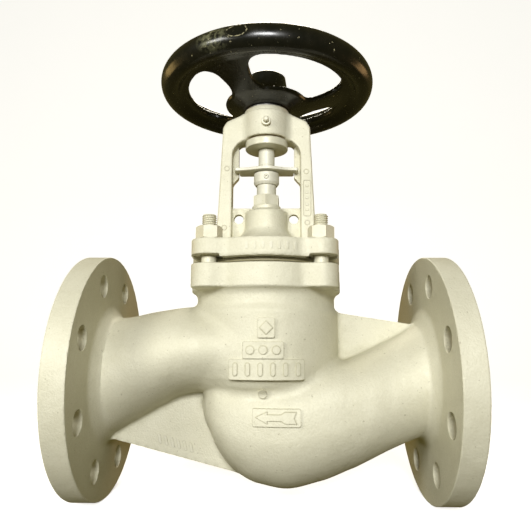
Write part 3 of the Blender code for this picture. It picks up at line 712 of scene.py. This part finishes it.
def body_field(x, y, z):
    solid = body_outside(x, y, z)
    flow = union(loft(x, y, z, OUTLET_PASSAGE), loft(x, y, z, INLET_PASSAGE))
    solid = cut(solid, union(flow, polygon(np.hypot(x, y), z, CHAMBER)), 0.8)
    around = np.hypot(y, z)
    turn = TAU / FLANGE_BOLTS
    off_hole = np.mod(np.arctan2(z, y), turn) - turn / 2
    drill = np.hypot(around * np.cos(off_hole) - BOLT_CIRCLE_R, around * np.sin(off_hole)) - BOLT_HOLE_R
    solid = cut(solid, np.maximum(drill, FLANGE_BACK_X - 4 - np.abs(x)), 0.8)
    return cut(solid, np.maximum(from_stud(x, y) - STUD_R - 0.3, 73 - z), 0.6)


def block(px, py, x0, x1, y0, y1, corner):
    """Signed distance to an upright rectangle with round corners."""
    across = np.abs(px - (x0 + x1) / 2) - (x1 - x0) / 2 + corner
    up = np.abs(py - (y0 + y1) / 2) - (y1 - y0) / 2 + corner
    outside = np.hypot(np.maximum(across, 0), np.maximum(up, 0))
    return outside + np.minimum(np.maximum(across, up), 0) - corner


ARROW = rounded([(-6.4, -27.9), (2.6, -23.4), (2.6, -25.6), (13, -25.6, 3), (16, -23.6, 3), (24.6, -23.6),
                 (22.8, -27.9), (24.6, -32.2), (16, -32.2, 3), (13, -30.2, 3), (2.6, -30.2), (2.6, -32.4)])


def cast_signs(x, z):
    """Plan of the raised signs: dots and bars on stepped pads, and the flow arrow on its own pad."""
    pads = block(x, z, -5.2, 8.4, 31.2, 46.6, 1.6)
    pads = union(pads, block(x, z, -16.5, 15.2, 15.6, 28.6, 1.6))
    pads = union(pads, block(x, z, -27, 31.1, -0.3, 15.4, 1.6))
    pads = union(pads, block(x, z, -8.8, 28, -34.6, -21.4, 1.6))
    diamond = (np.abs(x - 1.6) + np.abs(z - 38.9) - 5.2) / math.sqrt(2)
    raised = np.minimum(diamond, polygon(x, z, ARROW))
    for centre in (-10.6, -0.6, 9.4):
        raised = np.minimum(raised, np.hypot(x - centre, z - 22.1) - 3.2)
    for index in range(6):
        centre = -21.9 + 9.6 * index
        raised = np.minimum(raised, block(x, z, centre - 1.7, centre + 1.7, 2.8, 12.6, 1.7))
    return pads, np.minimum(raised, np.hypot(x + 1, z + 11) - 3.4)


def cast_outlines(x, z):
    pads, raised = cast_signs(x, z)
    return np.minimum(np.abs(pads), np.abs(raised))


def signs_field(x, y, z):
    """The pads and signs with a thin backing that lies just inside the body's skin."""
    skin = body_outside(x, y, z)
    pads, raised = cast_signs(x, z)
    round_front = np.maximum(np.hypot(x, y) - NECK_R - PAD_HEIGHT, -2 - z)
    front = np.minimum(round_front, skin - PAD_HEIGHT)
    solid = union(skin, np.maximum(common(pads, front, 0.3), y), 0.25)
    solid = union(solid, common(raised, front - 1.0, 0.25), 0.2)
    near = np.minimum(pads, raised) - 1.0
    return np.maximum(np.maximum(solid + 0.06, -1.5 - skin), near)


def web_signs(x, z):
    """Plan of a short row of raised bars along the low web's edge."""
    marks = np.inf
    for index in range(6):
        centre = -88.5 + 5 * index
        along = x - centre + 0.25 * (z + 56)
        across = z + 56 + 0.28 * (centre + 76)
        marks = np.minimum(marks, block(along, across, -1.3, 1.3, -4.2, 4.2, 1.3))
    return marks


def web_signs_field(x, y, z):
    return common(web_signs(x, z), slab(-y, WEB_HALF_THICKNESS - 0.6, WEB_HALF_THICKNESS + 0.8), 0.25)


def add_signs(name, field, low, high, step, **options):
    """Raised signs on a casting. They ride the root body and stand for no CAD node."""
    signs = cast(name, field, low, high, step, CAST_PAINT, **options)
    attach(signs, "root")


def build_body():
    rims = ((FLANGE_BACK_X - 1.4, FLANGE_BACK_X + 3), (FACE_X - 4.4, FACE_X + 1))
    fine_x = [(-end, -start) for start, end in rims] + list(rims)
    body = cast("body_casting", body_field, (-158, -104, -104), (158, 104, 104), 2.1, CAST_PAINT,
                fine_x=fine_x, fine_z=((69.6, 73.2), (88, 91)))
    stands_for(body, "body", "root")
    add_signs("body_signs", signs_field, (-30, -70, -38), (34, -44, 50), 0.55, crease=40,
              plan=cast_outlines)
    add_signs("web_signs", web_signs_field, (-96, -5, -68), (-58, -1, -44), 0.45, plan=web_signs)


# --- Bonnet and its fasteners ------------------------------------------------------------------

YOKE_HALF = rounded([(0, 106), (45.5, 106), (45.5, 112), (43, 145, 60), (39.6, 223, 6),
                     (36, 228.5, 5), (22, 235, 4), (0, 235)])
YOKE_WINDOW = rounded([(0, 90), (ARM_INNER_X, 90), (ARM_INNER_X, HEAD_LOW_Z, ARCH_RADIUS),
                       (0, HEAD_LOW_Z)], steps=8)
GUIDE_RIB = rounded([(36, 208), (25.5, 208, 3), (25.5, 178, 3), (32, 170.5), (36, 170.5)])
LIFTING_WEB = [(10, 104), (36, 104), (36, 148), (10, 148)]
BONNET_FLARE = [(19 + 36 * (step / 12) ** 2.2, 130 - 22 * step / 12) for step in range(13)]
BONNET_NECK = rounded([(0, 146), (14.6, 146), (19, 143.2, 1.5)] + BONNET_FLARE + [(55, 100), (0, 100)])
HEAD = rounded([(0, HEAD_TOP_Z), (20.7, HEAD_TOP_Z, 0.8), (20.7, 235.3, 0.8), (HEAD_R, 234.4, 0.8),
                (HEAD_R, HEAD_LOW_Z, 1.2), (0, HEAD_LOW_Z)])
STEM_WAY = [(0, 150), (STUFFING_BOX_R, 150), (STUFFING_BOX_R, 110), (9.4, 110), (9.4, 104.3),
            (STUFFING_BOX_R, 104.3), (STUFFING_BOX_R, 90), (0, 90)]


def bonnet_field(x, y, z):
    radius, aside, ahead = np.hypot(x, y), np.abs(x), np.abs(y)
    arms = common(polygon(aside, z, YOKE_HALF), ahead - ARM_HALF_DEPTH, 1.8)
    arms = cut(arms, polygon(aside, z, YOKE_WINDOW), 1.2)
    head = polygon(radius, z, HEAD)
    solid = union(arms, head, 4)
    rib = common(polygon(aside, z, GUIDE_RIB), slab(y, 1, ARM_HALF_DEPTH - 0.4), 0.6)
    solid = union(solid, rib, 1.2)
    neck = polygon(radius, z, BONNET_NECK)
    web = common(polygon(aside, z, LIFTING_WEB), ahead - 3, 0.8)
    web = cut(web, np.hypot(aside - 24.7, z - 138) - 4.25, 0.5)
    low = union(union(neck, solid, 3), web, 2)
    plate = common(cover(x, y), slab(z, BONNET_LOW_Z, BONNET_FLANGE_TOP_Z), 1.6)
    solid = union(low, plate, 3)
    relief = np.hypot(aside - STUD_X, ahead - STUD_X - 3.4) - 12.9
    solid = cut(solid, np.maximum(relief, z - BONNET_LOW_Z - 2.2), 0.6)
    spot_faces = np.maximum(from_stud(x, y) - 11.6, BONNET_FLANGE_TOP_Z - z)
    solid = cut(solid, spot_faces, 0.8)
    solid = cut(solid, polygon(radius, z, STEM_WAY), 0.4)
    solid = cut(solid, np.maximum(radius - HEAD_BORE_R, 205 - z), 0.4)
    nipple_hole = np.maximum(np.hypot(x, z - NIPPLE_Z) - 2.8, slab(-y, 12, 30))
    solid = cut(solid, nipple_hole, 0.3)
    return cut(solid, np.maximum(from_stud(x, y) - STUD_R - 0.75, z - 115), 0.5)


def yoke_signs(x, z):
    """Raised frame and bars on the right arm, and plain round marks on both."""
    marks = np.abs(block(x, z, 33.2, 39.6, 139.6, 172.4, 1.6)) - 0.35
    for centre in (145, 150, 156, 161, 167):
        marks = union(marks, block(x, z, 34.8, 38, centre - 1, centre + 1, 0.8))
    for cx, cz in ((36.4, 133.5), (35.8, 180.5), (-35.6, 183.5), (-37.2, 129)):
        marks = union(marks, np.abs(np.hypot(x - cx, z - cz) - 2.1) - 0.45)
    return marks


def yoke_signs_field(x, y, z):
    return common(yoke_signs(x, z), slab(-y, ARM_HALF_DEPTH - 0.7, ARM_HALF_DEPTH + 0.4), 0.25)


def collar_signs_field(x, y, z):
    """A row of faint raised bars on the front of the bonnet flange."""
    marks = np.inf
    for index in range(7):
        centre = -14 + 6.4 * index
        marks = np.minimum(marks, block(x, z, centre - 1.2, centre + 1.2, 99.8, 105.8, 1.2))
    return common(marks, slab(np.hypot(x, y), COVER_DISC_R - 1, COVER_DISC_R + 0.4), 0.2)


def build_bonnet():
    bonnet = cast("bonnet_casting", bonnet_field, (-81, -81, 93), (81, 81, 242), 1.45, CAST_PAINT)
    stands_for(bonnet, "bonnet", "root")
    add_signs("yoke_signs", yoke_signs_field, (-41, -11, 125), (42, -7, 188), 0.42, plan=yoke_signs)
    add_signs("bonnet_signs", collar_signs_field, (-17, -67, 98), (29, -56, 108), 0.42)


def threaded_rod(radius, low, high, thread_low, pitch, chamfer, segments=40):
    """Points and faces of a rod whose upper part carries a helical thread with a truncated vee."""
    depth = pitch * 0.6
    heights = [low + 0.6, thread_low - 0.01]
    heights += list(np.arange(thread_low, high, pitch / 8)) + [high - 0.001]
    turns = TAU * np.arange(segments) / segments
    points, faces = [], []
    for height in [low] + heights:
        if height < thread_low:
            ring = np.full(segments, radius - (0.6 if height == low else 0))
        else:
            phase = np.mod(height / pitch - turns / TAU, 1)
            vee = np.clip(1.35 * np.abs(2 * phase - 1) - 0.12, 0, 1)
            ring = radius - depth * vee
        ring = np.minimum(ring, radius - chamfer + (high - height))
        points += [(r * math.cos(t), r * math.sin(t), height) for r, t in zip(ring, turns)]
    rings = len(points) // segments
    for row in range(rings - 1):
        for index in range(segments):
            after = (index + 1) % segments
            faces.append((row * segments + index, row * segments + after,
                          (row + 1) * segments + after, (row + 1) * segments + index))
    points += [(0, 0, low), (0, 0, high)]
    top = (rings - 1) * segments
    for index in range(segments):
        after = (index + 1) % segments
        faces.append((after, index, len(points) - 2))
        faces.append((top + index, top + after, len(points) - 1))
    return np.array(points), faces


def hexagon(x, y, across_flats):
    aside, ahead = np.abs(x), np.abs(y)
    return np.maximum(aside * math.cos(math.radians(30)) + ahead * 0.5, ahead) - across_flats / 2


def hexagon_nut(x, y, z, across_flats, low, high, bore, top_only=False):
    """A hexagon with its corners turned off at 30 degrees and a countersunk bore."""
    radius = np.hypot(x, y)
    solid = common(hexagon(x, y, across_flats), slab(z, low, high), 0.25)
    ends = high - z if top_only else np.minimum(z - low, high - z)
    corners = (radius - across_flats * 0.485 - ends * math.sqrt(3)) / 2
    solid = common(solid, corners, 0.3)
    return cut(solid, np.maximum(radius, bore) - np.maximum(bore, bore + 0.9 - ends), 0.2)


def stud_nut_field(x, y, z):
    return hexagon_nut(x, y, z, 19, 0, 11, STUD_R + 0.15)


def build_fasteners():
    nut_low = BONNET_FLANGE_TOP_Z + 0.3
    across, up = ticks(-12, 12, 0.5), ticks(-1, 12, 0.5)
    nut_points, nut_faces = contour(stud_nut_field, [across, across, up])
    hollow, edge = shade_facts(stud_nut_field, nut_points)
    rod_low, rod_high = box_mm("bonnet_stud_1")[0][2], box_mm("bonnet_stud_1")[1][2]
    for index in range(4):
        node = f"bonnet_stud_{index + 1}"
        low, high = box_mm(node)
        centre = Matrix.Translation(((low[0] + high[0]) / 2, (low[1] + high[1]) / 2, 0))
        turn = Matrix.Rotation(math.radians(70 * index + 15), 4, "Z")
        points, faces = threaded_rod(STUD_R, rod_low, rod_high, 106, STUD_PITCH, 1.0)
        stud = add_mesh(f"stud_{index + 1}", place_points(points, centre @ turn), faces, FASTENER_PAINT)
        stands_for(stud, node, "root")
        turn = Matrix.Rotation(math.radians(12 + 17 * index), 4, "Z")
        place = centre @ Matrix.Translation((0, 0, nut_low)) @ turn
        nut = add_mesh(f"nut_{index + 1}", place_points(nut_points, place), nut_faces,
                       FASTENER_PAINT, hollow, edge)
        stands_for(nut, f"bonnet_nut_{index + 1}", "root")


# --- Stuffing box, stem and what moves with it -------------------------------------------------

GLAND_LOW_Z, GLAND_TOP_Z = box_mm("gland_nut")[0][2], box_mm("gland_nut")[1][2]
GLAND_TURN = math.radians(27)


def gland_nut_field(x, y, z):
    radius = np.hypot(x, y)
    across = x * math.cos(GLAND_TURN) + y * math.sin(GLAND_TURN)
    along = y * math.cos(GLAND_TURN) - x * math.sin(GLAND_TURN)
    barrel = common(radius - 12.9, slab(z, GLAND_LOW_Z, 149.6), 0.6)
    head = common(hexagon(across, along, 22.2), slab(z, 149, GLAND_TOP_Z), 0.5)
    head = common(head, (radius - 10.9 - (GLAND_TOP_Z - z) * math.sqrt(3)) / 2, 0.5)
    head = common(head, (radius - 11.9 - (z - 149) * math.sqrt(3)) / 2, 0.5)
    return cut(union(barrel, head, 0.6), radius - STEM_BORE_R, 0.4)


def plug_nut_field(x, y, z):
    low, high = box_mm("plug_nut")[0][2], box_mm("plug_nut")[1][2]
    radius = np.hypot(x, y)
    barrel = common(radius - 15, slab(z, low, 23), 0.5)
    head = common(hexagon(x, y, 30), slab(z, 22, high), 0.4)
    head = common(head, (radius - 14.6 - (high - z) * math.sqrt(3)) / 2, 0.3)
    return cut(union(barrel, head), radius - STEM_BORE_R, 0.4)


def guide_plate_field(x, y, z):
    low, high = box_mm("guide_plate")[0][2], box_mm("guide_plate")[1][2]
    end_x = box_mm("guide_plate")[1][0]
    front = (-8 - 6 * np.exp(-(x / 15) ** 2) - y) / np.hypot(1, 0.55)
    before = common(common(front, y - 0.2), np.abs(x) - end_x, 1.5)
    behind = block(x, y, -25, 25, -4, 10, 2)
    plate = common(np.minimum(before, behind), slab(z, low, high), 0.6)
    return cut(plate, np.hypot(x, y) - THREAD_BORE_R, 0.3)


def guide_collar_field(x, y, z):
    profile = rounded([(STEM_BORE_R, 180.4), (11.5, 180.4, 0.4), (11.5, 171.6, 0.6), (10, 169.3, 0.5),
                       (STEM_BORE_R, 169.3)])
    hole = np.maximum(np.hypot(x, z - 175.4) - 2.2, y)
    return cut(polygon(np.hypot(x, y), z, profile), hole, 0.25)


def bellows_wave(folds, samples):
    """A profile of round folds, one wall thick, from the top down and back up inside."""
    low, high = box_mm("bellows")[0][2], box_mm("bellows")[1][2]
    outer_r, inner_r, wall = 24.5, 17.6, 0.5
    middle, swing = (outer_r + inner_r) / 2, (outer_r - inner_r) / 2
    outside = []
    for step in range(folds * samples + 1):
        wave = -math.cos(TAU * step / samples)
        wave = math.copysign(abs(wave) ** 0.75, wave)
        outside.append((middle + swing * wave, high + (low - high) * step / (folds * samples)))
    inside = [(radius - wall, z) for radius, z in reversed(outside)]
    return outside + inside


def ring_piece(name, node, bore_r, edge, material, body="root"):
    """A plain ring that takes its outer size and its height from the CAD node it stands for."""
    low, high = box_mm(node)
    profile = [(bore_r, high[2], edge), (high[0], high[2], edge), (high[0], low[2], edge),
               (bore_r, low[2], edge)]
    return stands_for(turned(name, profile[::-1], material, closed=True), node, body)


def build_rings():
    for name, node, bore_r, edge, material in (
            ("lower_gasket", "gasket_lower", 53.4, 0.2, OVERSPRAY_AND_SHADE),
            ("upper_gasket", "gasket_upper", 53.4, 0.2, OVERSPRAY_AND_SHADE),
            ("guide_bush", "stem_guide_bush", STEM_BORE_R, 0.5, BRONZE),
            ("packing_base", "packing_washer", STEM_BORE_R, 0.3, STAINLESS),
            ("follower", "gland_follower", STEM_BORE_R, 0.4, BRONZE),
            ("head_bush", "yoke_bush", 13.3, 0.5, BRONZE),
            ("lower_thrust", "thrust_washer_lower", 13.3, 0.1, STEEL),
            ("upper_thrust", "thrust_washer_upper", 13.3, 0.3, STEEL)):
        ring_piece(name, node, bore_r, edge, material)
    for index in range(4):
        ring_piece(f"packing_{index + 1}", f"packing_ring_{index + 1}", STEM_BORE_R, 0.9, GRAPHITE)
    ring_piece("bellows_foot", "bellows_collar", STEM_BORE_R, 0.8, STAINLESS, "stem")
    ring_piece("wheel_washer", "handwheel_washer", 10.3, 0.3, STEEL, "handwheel")


def build_stem_parts():
    stem = [(0, 4.3), (12, 4.3, 0.6), (12, 8.8, 0.6), (8.75, 8.8), (8.75, 180.7, 0.4),
            (STEM_THREAD_R, 181.5), (STEM_THREAD_R, 187.2), (7.05, 187.5), (7.05, 188.1),
            (STEM_THREAD_R, 188.4), (STEM_THREAD_R, 249, 0.3), (6.35, 250), (0, 250)]
    stands_for(turned("stem_rod", stem, STEM_PAINT), "stem", "stem")
    plug = [(0, -5.5), (35.95, -5.5, 1), (36.95, -3.6, 1), (43.5, 2.95, 0.5), (43.5, 11, 1.5),
            (40.5, 13, 1), (20, 15.5, 3), (20, 22, 0.6), (15.3, 22, 0.4), (15.3, 9), (12.4, 9), (12.4, 4),
            (0, 4)]
    stands_for(turned("plug_disc", plug, STAINLESS, 96), "plug", "stem")
    nut = cast("plug_retainer", plug_nut_field, (-19, -19, 8), (19, 19, 28), 0.7, BRONZE)
    stands_for(nut, "plug_nut", "stem")
    seat = [(38, -9.7, 0.8), (46.8, -9.7, 0.4), (46.8, 0, 0.4), (41, 0), (38, -3)]
    stands_for(turned("seat", seat, STAINLESS, 96, closed=True), "seat_ring", "root")
    plate = [(9.4, 88, 0.3), (25, 88, 0.5), (25, 91.6), (57, 91.6, 0.3), (57, 93.4, 0.3), (9.4, 93.4, 0.3)]
    stands_for(turned("bellows_plate", plate, OVERSPRAY_AND_SHADE, 96, closed=True), "bellows_flange", "root")
    bellows = turned("bellows_folds", bellows_wave(14, 10)[::-1], STAINLESS, 64, closed=True)
    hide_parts("bellows")
    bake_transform(bellows)
    collar = cast("guide_ring", guide_collar_field, (-13, -13, 168), (13, 13, 182), 0.42, STEM_PAINT)
    stands_for(collar, "guide_collar", "stem")
    screw = [(0, 9.3), (1.9, 9.3, 0.2), (1.9, 12, 0.3), (0.95, 12, 0.1), (0.8, 10, 0.1), (0, 10)]
    place = Matrix.Translation((0, 0, 175.4)) @ FACING_FRONT
    stands_for(turned("ring_screw", screw, STEM_PAINT, 32, matrix=place), "collar_screw", "stem")
    plate = cast("travel_plate", guide_plate_field, (-31, -17, 180), (31, 12, 187), 0.5, STEM_PAINT)
    stands_for(plate, "guide_plate", "stem")
    nut = cast("gland_screw", gland_nut_field, (-15, -15, 138), (15, 15, 162), 0.5, FASTENER_PAINT)
    stands_for(nut, "gland_nut", "root")


# --- Drive -------------------------------------------------------------------------------------

def stem_nut_field(x, y, z):
    profile = [(THREAD_BORE_R, 203.5), (19.5, 203.5, 0.8), (19.5, 210.4, 0.6), (13, 210.4), (13, 240.7, 0.4),
               (11, 240.7), (11, 262, 0.4), (10, 262), (10, 271, 0.6), (THREAD_BORE_R, 271)]
    keyway = np.maximum(block(x, y, 9.2, 13.9, -2.8, 2.8, 0.1), slab(z, 242.7, 264))
    return cut(polygon(np.hypot(x, y), z, rounded(profile)), keyway)


def wheel_nut_field(x, y, z):
    low, high = box_mm("handwheel_nut")[0][2], box_mm("handwheel_nut")[1][2]
    solid = common(slab(np.hypot(x, y), 10.3, 13.2), slab(z, low, high), 0.5)
    slots = np.maximum(np.minimum(np.abs(x), np.abs(y)) - 1.6, high - 2.5 - z)
    return cut(solid, slots, 0.2)


WEB_UNDER = [(11.3, 241), (22.5, 241, 0.8), (25, 242.4, 1), (30, 243.5, 4), (38, 245, 8), (50, 249),
             (62, 253.2), (71, 256.2), (82, 257)]
WEB_OVER = [(82, 262.6), (71, 262, 8), (62, 258.6), (50, 253.6), (40, 249.8, 8), (34, 248.6, 4),
            (28, 249.6, 5), (23.5, 252.5, 3), (20.5, 256.5, 3), (19.3, 261, 6), (17.4, HUB_TOP_Z - 1.5, 1.2),
            (15.6, HUB_TOP_Z, 0.6), (13.8, HUB_TOP_Z), (13.8, 262), (11.3, 262)]
WHEEL_SECTION = rounded(WEB_UNDER + WEB_OVER)


def wheel_windows(x, y):
    """Signed distance to the nearest window: a ring sector with round corners."""
    radius, angle = np.hypot(x, y), np.arctan2(y, x)
    middle = (WINDOW_INNER_R + WINDOW_OUTER_R) / 2
    half_r = (WINDOW_OUTER_R - WINDOW_INNER_R) / 2
    nearest = np.inf
    for azimuth in WINDOW_AZIMUTHS:
        off = np.mod(angle - azimuth + math.pi, TAU) - math.pi
        half_arc = middle * WINDOW_HALF_ANGLE
        window = block(radius - middle, off * middle, -half_r, half_r, -half_arc, half_arc,
                       WINDOW_CORNER_R)
        nearest = np.minimum(nearest, window)
    return nearest


def handwheel_field(x, y, z):
    radius = np.hypot(x, y)
    out, up = (radius - RIM_CENTRE_R) / RIM_HALF_WIDTH, (z - RIM_CENTRE_Z) / RIM_HALF_HEIGHT
    size = np.hypot(out, up)
    rim = size * (size - 1) / (np.hypot(out / RIM_HALF_WIDTH, up / RIM_HALF_HEIGHT) + 1e-9)
    web = polygon(radius, z, WHEEL_SECTION)
    web = cut(web, wheel_windows(x, y), 2.2)
    solid = union(web, rim, 3)
    keyway = np.maximum(block(x, y, 9.2, 13.9, -2.8, 2.8, 0.1), z - 268)
    solid = cut(solid, np.maximum(keyway, 235 - z))
    along = RIM_CENTRE_R * (np.arctan2(-y, x) - DENT_AZIMUTH)
    dent = np.exp(-((along / 8.5) ** 2 + ((z - DENT_Z) / 5) ** 2) ** 2)
    return solid + DENT_DEPTH * dent


def build_drive():
    nut = cast("yoke_nut", stem_nut_field, (-21, -21, 202), (21, 21, 273), 0.9, STEM_NUT)
    stands_for(nut, "stem_nut", "handwheel")
    nipple = [(0, 17.2), (2.5, 17.2), (2.5, 22), (4.2, 22, 0.4), (4.2, 25, 0.6), (2.6, 25.1),
              (1.6, 26.3, 0.4), (2.4, 27.3, 0.3), (2.4, 28.4, 0.4), (1.5, 29.4, 0.4), (0, 29.4)]
    place = Matrix.Translation((0, 0, NIPPLE_Z)) @ FACING_FRONT
    stands_for(turned("nipple", nipple, FASTENER_PAINT, 32, matrix=place), "grease_nipple", "root")
    wheel = cast("wheel_casting", handwheel_field, (-99, -99, 239), (99, 99, 277), 1.45, BLACK_ENAMEL)
    stands_for(wheel, "handwheel", "handwheel")
    nut = cast("wheel_nut", wheel_nut_field, (-15, -15, 263), (15, 15, 273), 0.5, STEEL)
    stands_for(nut, "handwheel_nut", "handwheel")
    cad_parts["handwheel_key"].data.materials[0] = STEEL


# --- Stage -------------------------------------------------------------------------------------

CAMERA_PLACE = (0.01098, -0.46769, 0.02412)
CAMERA_TURNS = (-0.0247, 0.1532, 0.0045)
CAMERA_LENS = 35.97
CAMERA_SENSOR = 36


def add_camera():
    """The viewpoint: a short way in front, just above the pipe's centreline, tilted up a little."""
    yaw, pitch, roll = CAMERA_TURNS
    forward = Vector((math.sin(yaw) * math.cos(pitch), math.cos(yaw) * math.cos(pitch), math.sin(pitch)))
    level = Vector((math.cos(yaw), -math.sin(yaw), 0))
    above = level.cross(forward)
    right = level * math.cos(roll) + above * math.sin(roll)
    up = above * math.cos(roll) - level * math.sin(roll)
    data = bpy.data.cameras.new("camera")
    data.sensor_width = CAMERA_SENSOR
    data.lens = CAMERA_LENS
    data.clip_start = 0.01
    camera = bpy.data.objects.new("camera", data)
    turn = Matrix((right, up, -forward)).transposed().to_4x4()
    camera.matrix_world = Matrix.Translation(CAMERA_PLACE) @ turn
    bpy.context.scene.collection.objects.link(camera)
    bpy.context.scene.camera = camera


FLOOR_GLOW = 0.72
AMBIENT = (0.112, 0.094, 0.03, 1.0)


def add_floor():
    """A pale floor that curves up into a backdrop."""
    floor_z = CAD_BOX[0].z
    outline = [(-1.6, 0.0), (0.9, 0.0), (1.25, 0.03), (1.5, 0.12), (1.68, 0.3), (1.75, 0.55), (1.77, 2.2)]
    points, faces = [], []
    for y, height in outline:
        points += [(-3.0, y, floor_z + height), (3.0, y, floor_z + height)]
    for row in range(len(outline) - 1):
        faces.append((2 * row, 2 * row + 1, 2 * row + 3, 2 * row + 2))
    backdrop = Finish("backdrop_look", Emission_Strength=FLOOR_GLOW)
    tone = backdrop.mix(backdrop.noise(backdrop.millimetres(), 90, 3), (0.88, 0.88, 0.87), (0.84, 0.84, 0.83))
    backdrop.put(backdrop.shader.inputs["Emission Color"], (1.0, 1.0, 1.0))
    made = add_mesh("backdrop", np.array(points) / MM, faces, backdrop.finish(tone, 0.75), crease=180)
    made.visible_diffuse = False
    made.visible_glossy = False


def add_light(name, place, target, size, power, colour):
    data = bpy.data.lights.new(name, "AREA")
    data.shape = "RECTANGLE"
    data.size, data.size_y = size
    data.energy = power
    data.color = colour
    light = bpy.data.objects.new(name, data)
    light.location = place
    aim = (Vector(target) - Vector(place)).to_track_quat("-Z", "Y")
    light.rotation_mode = "QUATERNION"
    light.rotation_quaternion = aim
    bpy.context.scene.collection.objects.link(light)


def add_lights():
    world = bpy.data.worlds.new("studio")
    world.use_nodes = True
    nodes, links = world.node_tree.nodes, world.node_tree.links
    sky = nodes["Background"]
    seen = nodes.new("ShaderNodeLightPath").outputs["Is Camera Ray"]
    colour = nodes.new("ShaderNodeMix")
    colour.data_type = "RGBA"
    colour.inputs[6].default_value = AMBIENT
    colour.inputs[7].default_value = (1.0, 1.0, 1.0, 1.0)
    links.new(seen, colour.inputs["Factor"])
    links.new(colour.outputs[2], sky.inputs["Color"])
    bpy.context.scene.world = world
    middle = (0, 0, 0.1)
    add_light("key", (-0.02, -1.6, 0.46), middle, (0.5, 0.36), 24.5, (0.99, 0.995, 1.0))
    add_light("key_left", (-1.05, -1.05, 0.42), middle, (0.5, 0.32), 9, (1.0, 0.99, 0.93))
    add_light("warm_left", (-1.0, 0.35, 0.2), middle, (0.3, 0.6), 1.6, (1.0, 0.68, 0.25))
    add_light("warm_right", (1.0, 0.35, 0.1), middle, (0.3, 0.6), 1.6, (1.0, 0.6, 0.25))
    add_light("top_back", (0, 1.0, 1.3), middle, (0.4, 0.6), 8, (1.0, 0.93, 0.78))
    bpy.context.scene.view_settings.view_transform = "Standard"


add_camera()
add_lights()
add_floor()
build_body()
build_bonnet()
build_fasteners()
build_rings()
build_stem_parts()
build_drive()
